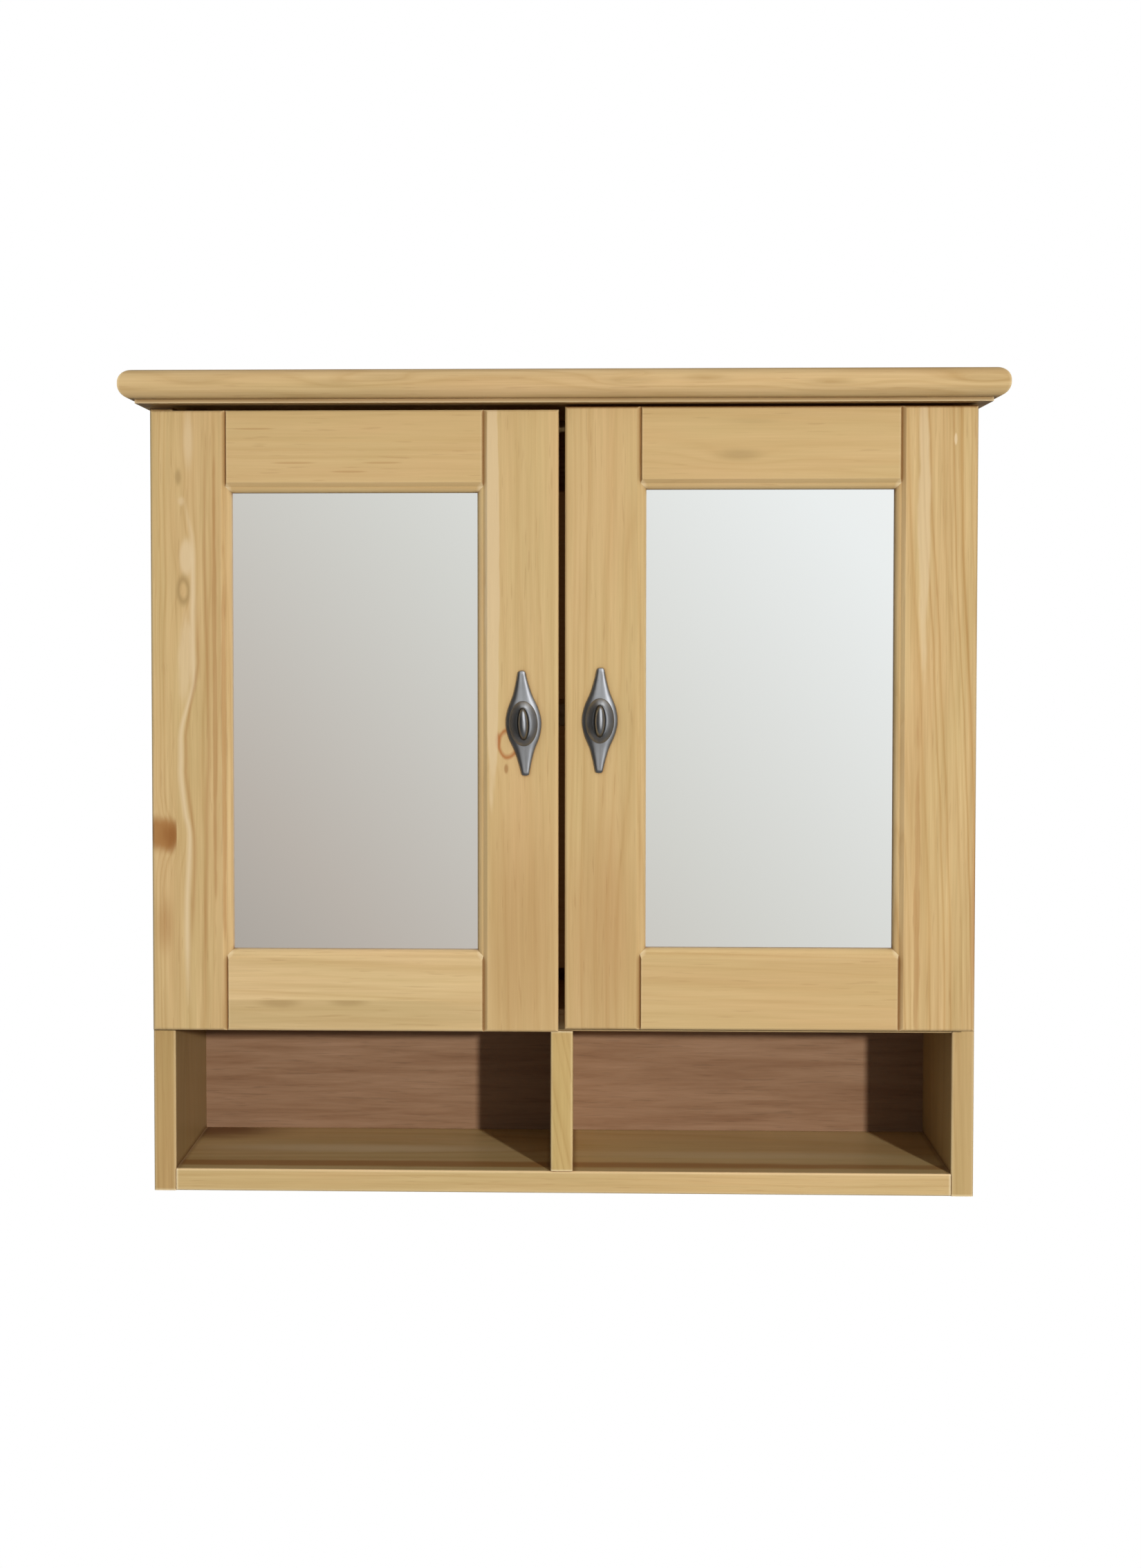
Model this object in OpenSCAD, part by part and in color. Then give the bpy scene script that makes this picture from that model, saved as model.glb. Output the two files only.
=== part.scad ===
// Wall cabinet for a bathroom: solid pine carcass with two framed mirror doors
// over two open compartments, under a rounded cornice board.
// Origin: middle of the rear bottom edge, on the wall plane. The front faces -Y, +Z is up.

/* [Carcass] */
// Width over the two side panels
carcass_w = 662; // [560:1:800]
// Depth of the side panels, from the wall to their front edge
carcass_d = 146; // [120:1:200]
// Height of the side panels, up to the underside of the cornice board
carcass_h = 634; // [560:1:760]
// Thickness of the side panels
side_t = 18; // [16:0.5:22]
// Thickness of the bottom board
bottom_t = 18; // [15:0.5:24]
// Thickness of the divider between the open compartments
divider_t = 18; // [15:0.5:24]
// Thickness of the fixed shelf under the doors
fixed_shelf_t = 18; // [16:0.5:24]
// Clear height of the open compartments
open_h = 114; // [80:1:180]
// Thickness of the plywood back
back_t = 4; // [3:0.5:6]
// Lap of the back in the rebate of each side panel
back_lap = 8; // [6:0.5:10]
// Radius of the eased front edges of the boards
edge_r = 1.5; // [0.5:0.1:3]

/* [Inner shelf] */
// Thickness of the adjustable shelf
shelf_t = 18; // [12:0.5:22]
// Depth of the adjustable shelf
shelf_d = 112; // [80:1:118]
// Height of the underside of the adjustable shelf
shelf_z = 377; // [300:1:430]
// Gap at each end of the adjustable shelf
shelf_gap = 1; // [0.5:0.1:2]
// Distance between the rows of shelf pin holes
pin_pitch = 64; // [32:1:96]
// Distance between the two pins on each side
pin_span = 72; // [50:1:76]
// Depth of a shelf pin hole
pin_hole_d = 10; // [8:0.5:12]

/* [Cornice] */
// Thickness of the rounded part of the cornice board
nose_t = 23; // [18:0.5:30]
// Radius of its rounded edges
nose_r = 8.5; // [6:0.5:8.5]
// Height of the fillet under the rounded part
fillet_h = 3; // [1:0.5:6]
// Overhang of the rounded edge past each side panel
nose_side = 16.5; // [14:0.5:40]
// Overhang of the rounded edge past the front edge of the side panels
nose_front = 47; // [42:0.5:70]
// Distance from the tip of the rounded edge back to the fillet
fillet_back = 11.5; // [9:0.5:13.5]

/* [Doors] */
// Thickness of the door frames
door_t = 19; // [18:0.5:24]
// Gap between the doors and the carcass
door_gap = 3; // [2.5:0.1:4]
// Gap between the two doors
meeting_gap = 5; // [3:0.5:8]
// Strip of each side panel's edge left bare beside a door
side_reveal = 4; // [2:0.5:6]
// Gap between the doors and the cornice board
top_gap = 2; // [1:0.5:5]
// Height of the fixed shelf's edge left bare under the doors
bottom_reveal = 5.5; // [3:0.5:7]
// How much lower the left door hangs
left_door_drop = 2.3; // [0:0.1:3]
// Width of the stiles, moulding included
stile_w = 64.5; // [60:0.5:90]
// Width of the rails, moulding included
rail_w = 65.2; // [60:0.2:90]
// Radius of the outer front edges of the doors
door_front_r = 2.5; // [2:0.1:3.5]
// Radius of the outer rear edges of the doors
door_rear_r = 1.5; // [1.2:0.1:2]

/* [Door moulding] */
// Width of the whole moulding round the mirror
mould_w = 8; // [7:0.1:9]
// Width of the bevel that starts the moulding
quirk_w = 3.2; // [3:0.1:3.4]
// Depth of that bevel
quirk_d = 2.2; // [1:0.1:2.2]
// Width of the chamfer on the rail ends, beside the bevel of the stiles
joint_chamfer = 1.2; // [0.5:0.1:2]
// Width of the rebate that the mirror lies in
rebate_w = 8; // [6:0.5:10]
// Thickness of the tenons
tenon_t = 5; // [4:0.5:6]
// Height of the tenons
tenon_h = 40; // [30:1:44]
// How far a tenon reaches into its stile
tenon_l = 30; // [20:1:40]
// Play round a tenon in its mortise
tenon_play = 0.1; // [0.05:0.05:0.3]

/* [Mirrors] */
// Thickness of the mirror glass
mirror_t = 4; // [3:0.5:4]
// Thickness of the hardboard behind the mirror
hardboard_t = 6.4; // [6:0.1:6.8]
// Play round the mirror in its rebate
mirror_play = 1; // [0.5:0.1:2]
// Width of a retaining clip
clip_w = 12; // [8:0.5:20]
// Length of a retaining clip
clip_l = 26; // [20:0.5:30]
// Thickness of a retaining clip
clip_t = 1; // [0.6:0.1:1.5]
// How far a clip reaches over the hardboard
clip_over = 9; // [6:0.5:12]
// Distance between the two clips on a stile
clip_pitch = 138; // [80:1:180]

/* [Hinges] */
// Distance of the hinge centres from the door's ends
hinge_inset = 100; // [95:1:140]
// Radius of a hinge cup
cup_r = 17.5; // [17:0.1:18]
// Depth of a hinge cup
cup_depth = 12.5; // [12:0.1:13]
// Wall of a hinge cup
cup_wall = 1; // [0.8:0.1:1.2]
// Wood left between the door's edge and the cup
cup_edge = 3; // [2.5:0.1:3.5]
// Thickness of the cup's flange
flange_t = 1; // [0.8:0.1:1.2]
// Distance between the cup's two screws
cup_screw_pitch = 48; // [44:1:56]
// Distance from the door's edge to the hinge pin
pin_in = 8; // [7.8:0.1:8.2]
// Distance from the door's rear face to the hinge pin
pin_deep = 9; // [8.8:0.1:9.4]
// Radius of the hinge pin
pin_r = 1; // [0.8:0.05:1.2]
// Running play of the arm on the pin
pin_play = 0.05; // [0.03:0.01:0.1]
// Width of the arm's knuckle
knuckle_w = 10; // [9:0.5:10.5]
// Thickness of the arm's steel
arm_t = 2; // [1.6:0.1:2.2]
// Width of the arm's channel
arm_w = 18; // [17:0.5:22]
// Wall of the arm's channel
arm_wall = 1.5; // [1:0.1:2]
// Length of the arm inside the cabinet
arm_l = 52; // [48:1:60]
// Thickness of the mounting plate's wings
plate_t = 2; // [1.5:0.1:2.5]
// Distance from the cabinet's front edge to the mounting plate's screws
plate_setback = 37; // [34:1:40]
// Distance between the mounting plate's screws
plate_pitch = 32; // [30:1:40]
// Distance from the cabinet's front edge to the mounting plate's saddle
saddle_setback = 16; // [12:1:20]
// Length of that saddle
saddle_l = 34; // [32:1:40]
// Distance from the cabinet's front edge to the screw that clamps the arm
clamp_screw_y = 45; // [42:0.5:46]
// Distance from the cabinet's front edge to the screw that shifts the arm
adjust_screw_y = 25; // [22:0.5:27]
// Play between the arm and the mounting plate
arm_play = 0.2; // [0.1:0.05:0.4]

/* [Handles] */
// Length of a handle's backplate
handle_l = 84; // [60:1:110]
// Width of a handle's backplate
handle_w = 28.5; // [24:0.5:36]
// Width of the blunt tips of the backplate
handle_tip_w = 5.5; // [3:0.5:8]
// Height of the backplate's crown
handle_crown = 3.6; // [3:0.1:5]
// Distance from the door's meeting edge to the handle
handle_inset = 27.7; // [22:0.1:36]
// Height of the handles above the door's bottom edge
handle_z = 246.5; // [180:0.5:300]
// Lean of the left handle, in degrees
left_handle_lean = 2.3; // [-4:0.1:4]
// Lean of the right handle, in degrees
right_handle_lean = 0.7; // [-4:0.1:4]
// Width of the knob
knob_w = 22.8; // [18:0.1:28]
// Length of the knob
knob_l = 36; // [26:0.5:42]
// Height of the knob above the door's face
knob_h = 16; // [15:0.5:22]
// Width of the boss in the middle of the knob
boss_w = 8.6; // [7:0.1:10]
// Length of that boss
boss_l = 24.5; // [16:0.5:25]
// Height of the knob's widest ring above the door's face
rim_h = 7; // [6.6:0.1:8]

/* [Fixings] */
// Radius of the dowels
dowel_r = 4; // [3:0.5:5]
// Distance of the dowels from the front and rear edges of the side panels
dowel_inset = 38; // [34:1:45]
// Play round a dowel
dowel_play = 0.1; // [0.05:0.05:0.2]
// Reach of a dowel into the board that it enters from the side
dowel_shallow = 11; // [8:0.5:12]
// Reach of a dowel into the end of the other board
dowel_deep = 21; // [15:0.5:30]
// Radius of the wood screws' shanks
screw_r = 1.7; // [1.5:0.1:2]
// Play round a screw
screw_play = 0.1; // [0.05:0.05:0.3]
// Room left under the tip of a screw
screw_tip_gap = 0.5; // [0.2:0.1:1]
// Length of the mounting plates' screws under their heads
plate_screw_l = 13; // [10:0.5:15]
// Length of the hinge cups' screws under their heads
cup_screw_l = 12; // [8:0.5:14]
// Length of the clips' screws under their heads
clip_screw_l = 11; // [8:0.5:13]
// Length of the magnet discs' screws under their heads
disc_screw_l = 10; // [8:0.5:13]
// Distance from the ends of the side panels to the back's first and last pin
nail_margin = 30; // [22:1:40]
// Radius of the pins that hold the back
nail_r = 0.8; // [0.6:0.1:1]
// Length of the pins that hold the back
nail_l = 16; // [12:1:20]
// Gap between the side pins and the rebate's edge
nail_edge = 4; // [3:0.5:5]
// Radius of the door magnets
magnet_r = 4; // [3:0.1:4.5]
// Length of a door magnet in the shelf's edge
magnet_l = 12; // [8:0.5:20]
// Distance of each door magnet from the cabinet's middle
magnet_x = 18; // [14:0.5:60]

/* [Wall fixing] */
// Height of the hanging rail
hanging_rail_h = 60; // [50:1:90]
// Thickness of the hanging rail
hanging_rail_t = 18; // [15:0.5:22]
// Distance between the two screw holes
wall_hole_pitch = 480; // [300:1:520]
// Radius of the screw holes
wall_hole_r = 2.75; // [2:0.05:4]

/* [Hidden] */
$fn = 48;

pine = [0.80, 0.67, 0.47];
pine_dark = [0.72, 0.58, 0.38];
plywood = [0.53, 0.41, 0.32];
pewter = [0.52, 0.51, 0.48];
steel = [0.75, 0.75, 0.74];
glass_silver = [0.82, 0.81, 0.79];
hardboard_brown = [0.45, 0.33, 0.22];
magnet_grey = [0.35, 0.35, 0.36];

inner_half = carcass_w / 2 - side_t;
fixed_shelf_z = bottom_t + open_h;
board_d = carcass_d - back_t;
cornice_t = nose_t + fillet_h;
shelf_rear_gap = 2;
shelf_y = -back_t - shelf_rear_gap;
rail_z = carcass_h - hanging_rail_h;
wall_hole_z = carcass_h - hanging_rail_h / 2;

door_z = fixed_shelf_z + bottom_reveal;
door_h = carcass_h - top_gap - door_z;
door_w = (carcass_w - 2 * side_reveal - meeting_gap) / 2;
// Depth of the mirror's front face, so that the hardboard ends flush with the door
sight_d = door_t - hardboard_t - mirror_t;
ovolo_r = mould_w - quirk_w;
ovolo_v = quirk_d + ovolo_r;
stile_flat = stile_w - mould_w;
tenon_v = sight_d + (door_t - sight_d) / 2 - tenon_t;
tenon_z = (rail_w - mould_w - tenon_h) / 2;

// Hinge geometry, seen from above: x runs inward from the side panel's outer face,
// y runs into the cabinet from the side panel's front edge.
pivot_x = side_reveal + pin_in;
pivot_y = -(door_gap + pin_deep);
cup_x = side_reveal + cup_edge + cup_r;
flange_rim = 0.8;
cup_play = 0.1;
sweep_gap = 1.4;
bend_r = 1.5;
arm_web_x = max(pivot_x + pin_deep + flange_t + sweep_gap, side_t + plate_t + 1.5);
arm_web_end = arm_web_x + arm_t;
ear_t = 1.2;
ear_gap = 0.3;
ear_r = 2.4;
knuckle_r = 2.35;
wing_r = 9;
plate_screw_r = 2;
clamp_screw_r = 2;
adjust_screw_r = 2.4;
hole_play = 0.2;
adjust_proud = 0.8;
slot_l = 6;
channel_setback = 10;
cup_screw_in = 6;
cup_wing_r = 5;
cup_screw_x = cup_x + cup_screw_in;

clip_screw_x = clip_over - clip_l + clip_w / 2;

magnet_head_r = magnet_r + 1;
magnet_z = fixed_shelf_z + fixed_shelf_t - edge_r - magnet_head_r;
strike_t = 1.2;
strike_r = 5;
magnet_gap = 0.2;
magnet_head_t = door_gap - strike_t - magnet_gap;

plate_edge_h = 0.9;
seat_r = 5.6;
seat_h = 3.0;
knob_play = 0.1;
neck_taper = 0.8;
neck_h = 2;
rim_edge = 1.5;
rim_round = 2.6;
rim_rise = 3.4;
hollow_w = 1.4;
hollow_rise = 1;
boss_top_w = 0.4;
boss_top_l = 1.8;
handle_screw_r = 2;
plate_head_r = 3.8;
plate_head_h = 2;
clamp_head_r = 3.6;
clamp_head_h = 2;
cup_head_r = 3.4;
cup_head_h = 1.6;
clip_head_r = 3;
clip_head_h = 1.2;
disc_head_r = 2.9;
disc_head_h = 1.1;
handle_head_r = 3.8;
handle_head_h = 2.2;
handle_screw_in_knob = 8;
cut = 1;

// Height of a door's bottom edge: the left door hangs lower
function door_base(side) = door_z - (side < 0 ? left_door_drop : 0);
function hinge_heights() = [hinge_inset, door_h - hinge_inset];

// Placing helpers

module along_x(length) rotate([90, 0, 90]) linear_extrude(length) children();

module along_y(length) translate([0, length, 0]) rotate([90, 0, 0]) linear_extrude(length) children();

// Draws its children for the right side and mirrors them for the left
module on_side(side) mirror([side < 0 ? 1 : 0, 0, 0]) children();

// Square piece to take off an outer corner at the origin, leaving a round edge
module corner_cut(r) difference() {
    translate([-cut, -cut]) square([r + cut, r + cut]);
    translate([r, r]) circle(r);
}

// Section of a board, w wide and d deep, with its two front edges eased
module board_section(w, d, r) difference() {
    square([w, d]);
    corner_cut(r);
    translate([w, 0]) mirror([1, 0]) corner_cut(r);
}

// Wood screw or machine screw along +Z, its head's top at z = 0, with a crossed recess
module screw(head_r, head_h, shank_r, length, countersunk = false) difference() {
    union() {
        if (countersunk) {
            translate([0, 0, -head_h]) cylinder(h = head_h, r1 = shank_r, r2 = head_r);
        } else {
            translate([0, 0, -head_h]) cylinder(h = head_h, r = head_r);
        }
        translate([0, 0, -head_h - length]) cylinder(h = length + 0.01, r = shank_r);
    }
    for (turn = [0, 90]) rotate([0, 0, turn])
        translate([-head_r * 0.55, -head_r * 0.11, -head_h * 0.45])
            cube([head_r * 1.1, head_r * 0.22, head_h]);
}

// Dowels: z = 0 is the joint, the shallow end lies below it

module dowel() translate([0, 0, -dowel_shallow]) cylinder(h = dowel_shallow + dowel_deep, r = dowel_r);

module dowel_hole() translate([0, 0, -dowel_shallow - dowel_play])
    cylinder(h = dowel_shallow + dowel_deep + 2 * dowel_play, r = dowel_r + dowel_play);

function dowel_depths() = [-dowel_inset, dowel_inset - carcass_d];

// Dowels of the right side panel's inner face
module side_dowels(z, y) translate([inner_half, y, z]) rotate([0, -90, 0]) children();

module bottom_dowels() for (y = dowel_depths()) side_dowels(bottom_t / 2, y) children();

module fixed_shelf_dowels() for (y = dowel_depths())
    side_dowels(fixed_shelf_z + fixed_shelf_t / 2, y) children();

module rail_dowels() for (dz = [-1, 1])
    side_dowels(wall_hole_z + dz * hanging_rail_h / 4, -back_t - hanging_rail_t / 2) children();

module cornice_dowels() for (y = dowel_depths())
    translate([carcass_w / 2 - side_t / 2, y, carcass_h]) mirror([0, 0, 1]) children();

module divider_dowels() for (y = dowel_depths()) {
    translate([0, y, bottom_t]) children();
    translate([0, y, fixed_shelf_z]) mirror([0, 0, 1]) children();
}

// Shelf pins

module shelf_pin_places() for (dy = [-0.5, 0.5])
    translate([inner_half, shelf_y - shelf_d / 2 + dy * pin_span, shelf_z]) children();

shelf_pin_r = 2.5;
shelf_pin_down = 3.6;
shelf_pin_play = 0.05;
tongue_l = 8;
tongue_w = 8;
tongue_t = 2;
pin_plate_t = 0.8;

// Pins that hold the back, along both sides, the bottom board and the hanging rail
nail_head_r = 1.7;
nail_head_t = 0.8;
nail_play = 0.1;
back_play = 0.5;
nail_sunk = 0.1;
function nail_spots() = concat(
    [for (side = [-1, 1], i = [0:5]) [side * (inner_half + nail_edge), nail_margin + i * (carcass_h - 2 * nail_margin) / 5]],
    [for (i = [-2:2], z = [bottom_t / 2, carcass_h - hanging_rail_h / 3]) [i * inner_half * 0.4, z]]);

module nail_holes() for (spot = nail_spots()) translate([spot[0], 0, spot[1]]) rotate([90, 0, 0]) {
    translate([0, 0, -cut]) cylinder(h = nail_sunk + nail_l + screw_tip_gap + cut, r = nail_r + nail_play);
    translate([0, 0, -cut]) cylinder(h = nail_sunk + nail_head_t + cut, r = nail_head_r + nail_play);
}

// Carcass

module side_panel(side) color(pine) on_side(side) difference() {
    translate([inner_half, -carcass_d, 0]) linear_extrude(carcass_h) difference() {
        board_section(side_t, carcass_d, edge_r);
        translate([-cut, carcass_d - back_t]) square([back_lap + cut, back_t + cut]);
    }
    bottom_dowels() dowel_hole();
    fixed_shelf_dowels() dowel_hole();
    rail_dowels() dowel_hole();
    cornice_dowels() dowel_hole();
    for (dz = [-pin_pitch, 0, pin_pitch]) shelf_pin_places()
        translate([-cut, 0, dz - shelf_pin_down]) rotate([0, 90, 0])
            cylinder(h = pin_hole_d + cut, r = shelf_pin_r + shelf_pin_play);
    on_hinges(side) plate_screw_places(side) rotate([0, -90, 0])
        translate([0, 0, -cut])
            cylinder(h = plate_screw_l - plate_t + screw_tip_gap + cut, r = plate_screw_r + screw_play);
    nail_holes();
}

module cross_board(z, t) translate([-inner_half, -carcass_d, z]) along_x(2 * inner_half)
    board_profile_yz(board_d, t);

// Section of a lying board: y is its depth, z its thickness, the front edges eased
module board_profile_yz(d, t) translate([0, t]) rotate(-90) board_section(t, d, edge_r);

module bottom_board() color(pine) difference() {
    cross_board(0, bottom_t);
    for (side = [-1, 1]) on_side(side) bottom_dowels() dowel_hole();
    divider_dowels() dowel_hole();
    nail_holes();
}

module fixed_shelf() color(pine) difference() {
    cross_board(fixed_shelf_z, fixed_shelf_t);
    for (side = [-1, 1]) on_side(side) fixed_shelf_dowels() dowel_hole();
    divider_dowels() dowel_hole();
    for (side = [-1, 1]) translate([side * magnet_x, -carcass_d - cut, magnet_z]) rotate([-90, 0, 0])
        cylinder(h = magnet_l + screw_tip_gap + cut, r = magnet_r + dowel_play);
}

module divider() color(pine) difference() {
    translate([-divider_t / 2, -carcass_d, bottom_t]) linear_extrude(open_h)
        board_section(divider_t, board_d, edge_r);
    divider_dowels() dowel_hole();
}

module inner_shelf() color(pine)
    translate([-inner_half + shelf_gap, shelf_y - shelf_d, shelf_z])
        along_x(2 * (inner_half - shelf_gap)) board_profile_yz(shelf_d, shelf_t);

module shelf_pin() {
    translate([0, 0, -shelf_pin_down]) rotate([0, 90, 0])
        cylinder(h = pin_hole_d - screw_tip_gap, r = shelf_pin_r);
    translate([-pin_plate_t, -tongue_w / 2, -shelf_pin_down - shelf_pin_r])
        cube([pin_plate_t, tongue_w, shelf_pin_down + shelf_pin_r]);
    translate([-tongue_l, -tongue_w / 2, -tongue_t]) cube([tongue_l, tongue_w, tongue_t]);
}

module shelf_pins() color(steel) for (side = [-1, 1]) on_side(side) shelf_pin_places() shelf_pin();

module nose_half(tip) {
    for (z = [nose_r, nose_t - nose_r])
        translate([tip - nose_r, carcass_h + fillet_h + z]) circle(nose_r);
    translate([0, carcass_h + fillet_h + nose_r]) square([tip, nose_t - 2 * nose_r]);
    translate([0, carcass_h + fillet_h]) square([tip - nose_r, nose_t]);
    translate([0, carcass_h]) square([tip - fillet_back, fillet_h + 0.5]);
}

module cornice_board() color(pine) difference() {
    intersection() {
        translate([-carcass_w, 0, 0]) along_x(2 * carcass_w) mirror([1, 0]) nose_half(carcass_d + nose_front);
        translate([0, -2 * carcass_d, 0]) along_y(2 * carcass_d) for (side = [0, 1])
            mirror([side, 0]) nose_half(carcass_w / 2 + nose_side);
    }
    for (side = [-1, 1]) on_side(side) cornice_dowels() dowel_hole();
}

module back_panel() color(plywood) difference() {
    translate([-inner_half - back_lap + back_play, -back_t, 0])
        cube([2 * (inner_half + back_lap - back_play), back_t, carcass_h]);
    nail_holes();
    wall_holes();
}

module back_panel_pins() color(steel) for (spot = nail_spots())
    translate([spot[0], -nail_sunk, spot[1]]) rotate([90, 0, 0]) {
        cylinder(h = nail_l, r = nail_r);
        cylinder(h = nail_head_t, r = nail_head_r);
    }

module wall_holes() for (side = [-1, 1])
    translate([side * wall_hole_pitch / 2, cut, wall_hole_z]) rotate([90, 0, 0])
        cylinder(h = back_t + hanging_rail_t + 2 * cut, r = wall_hole_r);

module hanging_rail() color(pine_dark) difference() {
    translate([-inner_half, -back_t - hanging_rail_t, rail_z])
        cube([2 * inner_half, hanging_rail_t, hanging_rail_h]);
    for (side = [-1, 1]) on_side(side) rail_dowels() dowel_hole();
    nail_holes();
    wall_holes();
}

module carcass_dowels() color(pine_dark) {
    for (side = [-1, 1]) on_side(side) {
        bottom_dowels() dowel();
        fixed_shelf_dowels() dowel();
        rail_dowels() dowel();
        cornice_dowels() dowel();
    }
    divider_dowels() dowel();
}

module door_magnets() color(magnet_grey) for (side = [-1, 1])
    translate([side * magnet_x, -carcass_d, magnet_z]) rotate([90, 0, 0]) {
        translate([0, 0, -magnet_l]) cylinder(h = magnet_l, r = magnet_r);
        cylinder(h = magnet_head_t, r = magnet_head_r);
    }

// Hinges: the mounting plate and the arm stay on the side panel, the cup is in the door

// Places its children at both hinges of one side, in the hinge geometry's own x and y
module on_hinges(side) for (h = hinge_heights())
    translate([carcass_w / 2, -carcass_d, door_base(side) + h]) mirror([1, 0, 0]) children();

// The plates' screws keep one height: a door that hangs lower has its plates lower on their slots
module plate_screw_places(side) for (dz = [-1, 1])
    translate([side_t, plate_setback, dz * plate_pitch / 2 + door_z - door_base(side)]) children();

module plate_outline() {
    translate([plate_setback - wing_r, -plate_pitch / 2]) square([2 * wing_r, plate_pitch]);
    for (dz = [-1, 1]) translate([plate_setback, dz * plate_pitch / 2]) circle(wing_r);
}

module slot(length, r) {
    translate([-r, -length / 2]) square([2 * r, length]);
    for (dz = [-1, 1]) translate([0, dz * length / 2]) circle(r);
}

saddle_half = arm_w / 2 - arm_wall - arm_play;

module hinge_plate() difference() {
    union() {
        translate([side_t, 0, 0]) along_x(plate_t) difference() {
            plate_outline();
            for (dz = [-1, 1]) translate([plate_setback, dz * plate_pitch / 2])
                slot(slot_l, plate_screw_r + hole_play);
        }
        translate([side_t, saddle_setback, -saddle_half])
            cube([arm_web_x - arm_play - side_t, saddle_l, 2 * saddle_half]);
    }
    translate([side_t - cut, clamp_screw_y, 0]) rotate([0, 90, 0])
        cylinder(h = arm_web_x, r = clamp_screw_r + screw_play);
}

module hinge_plates(side) color(steel) on_side(side) on_hinges(side) hinge_plate();

module hinge_plate_screws() color(steel) for (side = [-1, 1]) on_side(side) on_hinges(side)
    plate_screw_places(side) translate([plate_t + plate_head_h, 0, 0]) rotate([0, 90, 0])
        screw(plate_head_r, plate_head_h, plate_screw_r, plate_screw_l);

// The arm seen from above: knuckle, neck, bend and web
module arm_neck() difference() {
    union() {
        translate([pivot_x, pivot_y]) circle(knuckle_r);
        translate([pivot_x, pivot_y - arm_t / 2]) square([arm_web_x - bend_r - pivot_x, arm_t]);
        translate([arm_web_x - bend_r, pivot_y + arm_t / 2 + bend_r]) intersection() {
            difference() {
                circle(bend_r + arm_t);
                circle(bend_r);
            }
            translate([0, -bend_r - arm_t]) square([bend_r + arm_t, bend_r + arm_t]);
        }
        translate([arm_web_x, pivot_y + arm_t / 2 + bend_r])
            square([arm_t, arm_l - pivot_y - arm_t / 2 - bend_r]);
    }
    translate([pivot_x, pivot_y]) circle(pin_r + pin_play);
}

module hinge_arm() difference() {
    union() {
        translate([0, 0, -knuckle_w / 2]) linear_extrude(knuckle_w) arm_neck();
        translate([arm_web_x, channel_setback, -arm_w / 2])
            cube([arm_t, arm_l - channel_setback, arm_w]);
        for (dz = [-1, 1])
            translate([side_t + plate_t + arm_play, channel_setback, dz * (arm_w - arm_wall) / 2 - arm_wall / 2])
                cube([arm_web_end - side_t - plate_t - arm_play, arm_l - channel_setback, arm_wall]);
    }
    translate([0, clamp_screw_y, 0]) rotate([0, 90, 0])
        cylinder(h = arm_web_end + cut, r = clamp_screw_r + hole_play);
    translate([0, adjust_screw_y, 0]) rotate([0, 90, 0])
        cylinder(h = arm_web_end + cut, r = adjust_screw_r + pin_play);
}

module hinge_arms(side) color(steel) on_side(side) on_hinges(side) hinge_arm();

module hinge_arm_screws() color(steel) for (side = [-1, 1]) on_side(side) on_hinges(side) {
    translate([arm_web_end + clamp_head_h, clamp_screw_y, 0]) rotate([0, 90, 0])
        screw(clamp_head_r, clamp_head_h, clamp_screw_r, arm_web_end - side_t - screw_tip_gap);
    translate([arm_web_end + adjust_proud, adjust_screw_y, 0]) rotate([0, 90, 0])
        screw(adjust_screw_r, arm_t / 2 + adjust_proud, adjust_screw_r, arm_t / 2);
}

// Hinge cup in the door, seen as in the closed cabinet
module cup_body() difference() {
    union() {
        translate([0, 0, -flange_t]) cylinder(h = flange_t, r = cup_r + flange_rim);
        cylinder(h = cup_depth, r = cup_r);
        translate([0, 0, -flange_t]) linear_extrude(flange_t) cup_wings();
    }
    translate([0, 0, -flange_t - cut]) cylinder(h = cup_depth - cup_wall + flange_t + cut, r = cup_r - cup_wall);
    for (dz = [-1, 1]) translate([-cup_screw_in, dz * cup_screw_pitch / 2, -flange_t - cut])
        cylinder(h = flange_t + 2 * cut, r = screw_r + screw_play);
}

module cup_wings() difference() {
    union() {
        for (dz = [-1, 1]) translate([-cup_screw_in, dz * cup_screw_pitch / 2]) circle(cup_wing_r);
        translate([-cup_screw_in - cup_wing_r, -cup_screw_pitch / 2])
            square([2 * cup_wing_r, cup_screw_pitch]);
    }
    circle(cup_r - cup_wall);
}

// Two ears that carry the pin, standing on the cup's floor
module cup_ears() for (dz = [-1, 1])
    translate([0, 0, dz * (knuckle_w / 2 + ear_gap + ear_t / 2) - ear_t / 2]) linear_extrude(ear_t) {
        translate([pivot_x, pivot_y]) circle(ear_r);
        translate([pivot_x - ear_r, -door_gap - cup_depth + cup_wall / 2])
            square([2 * ear_r, cup_depth - cup_wall / 2 - pin_deep]);
    }

module hinge_cup() difference() {
    union() {
        translate([cup_x, -door_gap, 0]) rotate([90, 0, 0]) mirror([1, 0, 0]) cup_body();
        cup_ears();
    }
    translate([pivot_x, pivot_y, -knuckle_w]) cylinder(h = 2 * knuckle_w, r = pin_r + pin_play);
}

module hinge_cups(side) color(steel) on_side(side) on_hinges(side) hinge_cup();

module cup_screw_places() for (dz = [-1, 1])
    translate([cup_screw_x, -door_gap, dz * cup_screw_pitch / 2]) rotate([90, 0, 0]) children();

module hinge_cup_screws(side) color(steel) on_side(side) on_hinges(side) cup_screw_places()
    translate([0, 0, -flange_t - cup_head_h]) mirror([0, 0, 1])
        screw(cup_head_r, cup_head_h, screw_r, cup_screw_l);

module hinge_pins(side) color(steel) on_side(side) on_hinges(side)
    translate([pivot_x, pivot_y, -knuckle_w / 2 - ear_gap - ear_t])
        cylinder(h = knuckle_w + 2 * (ear_gap + ear_t), r = pin_r);

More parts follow.
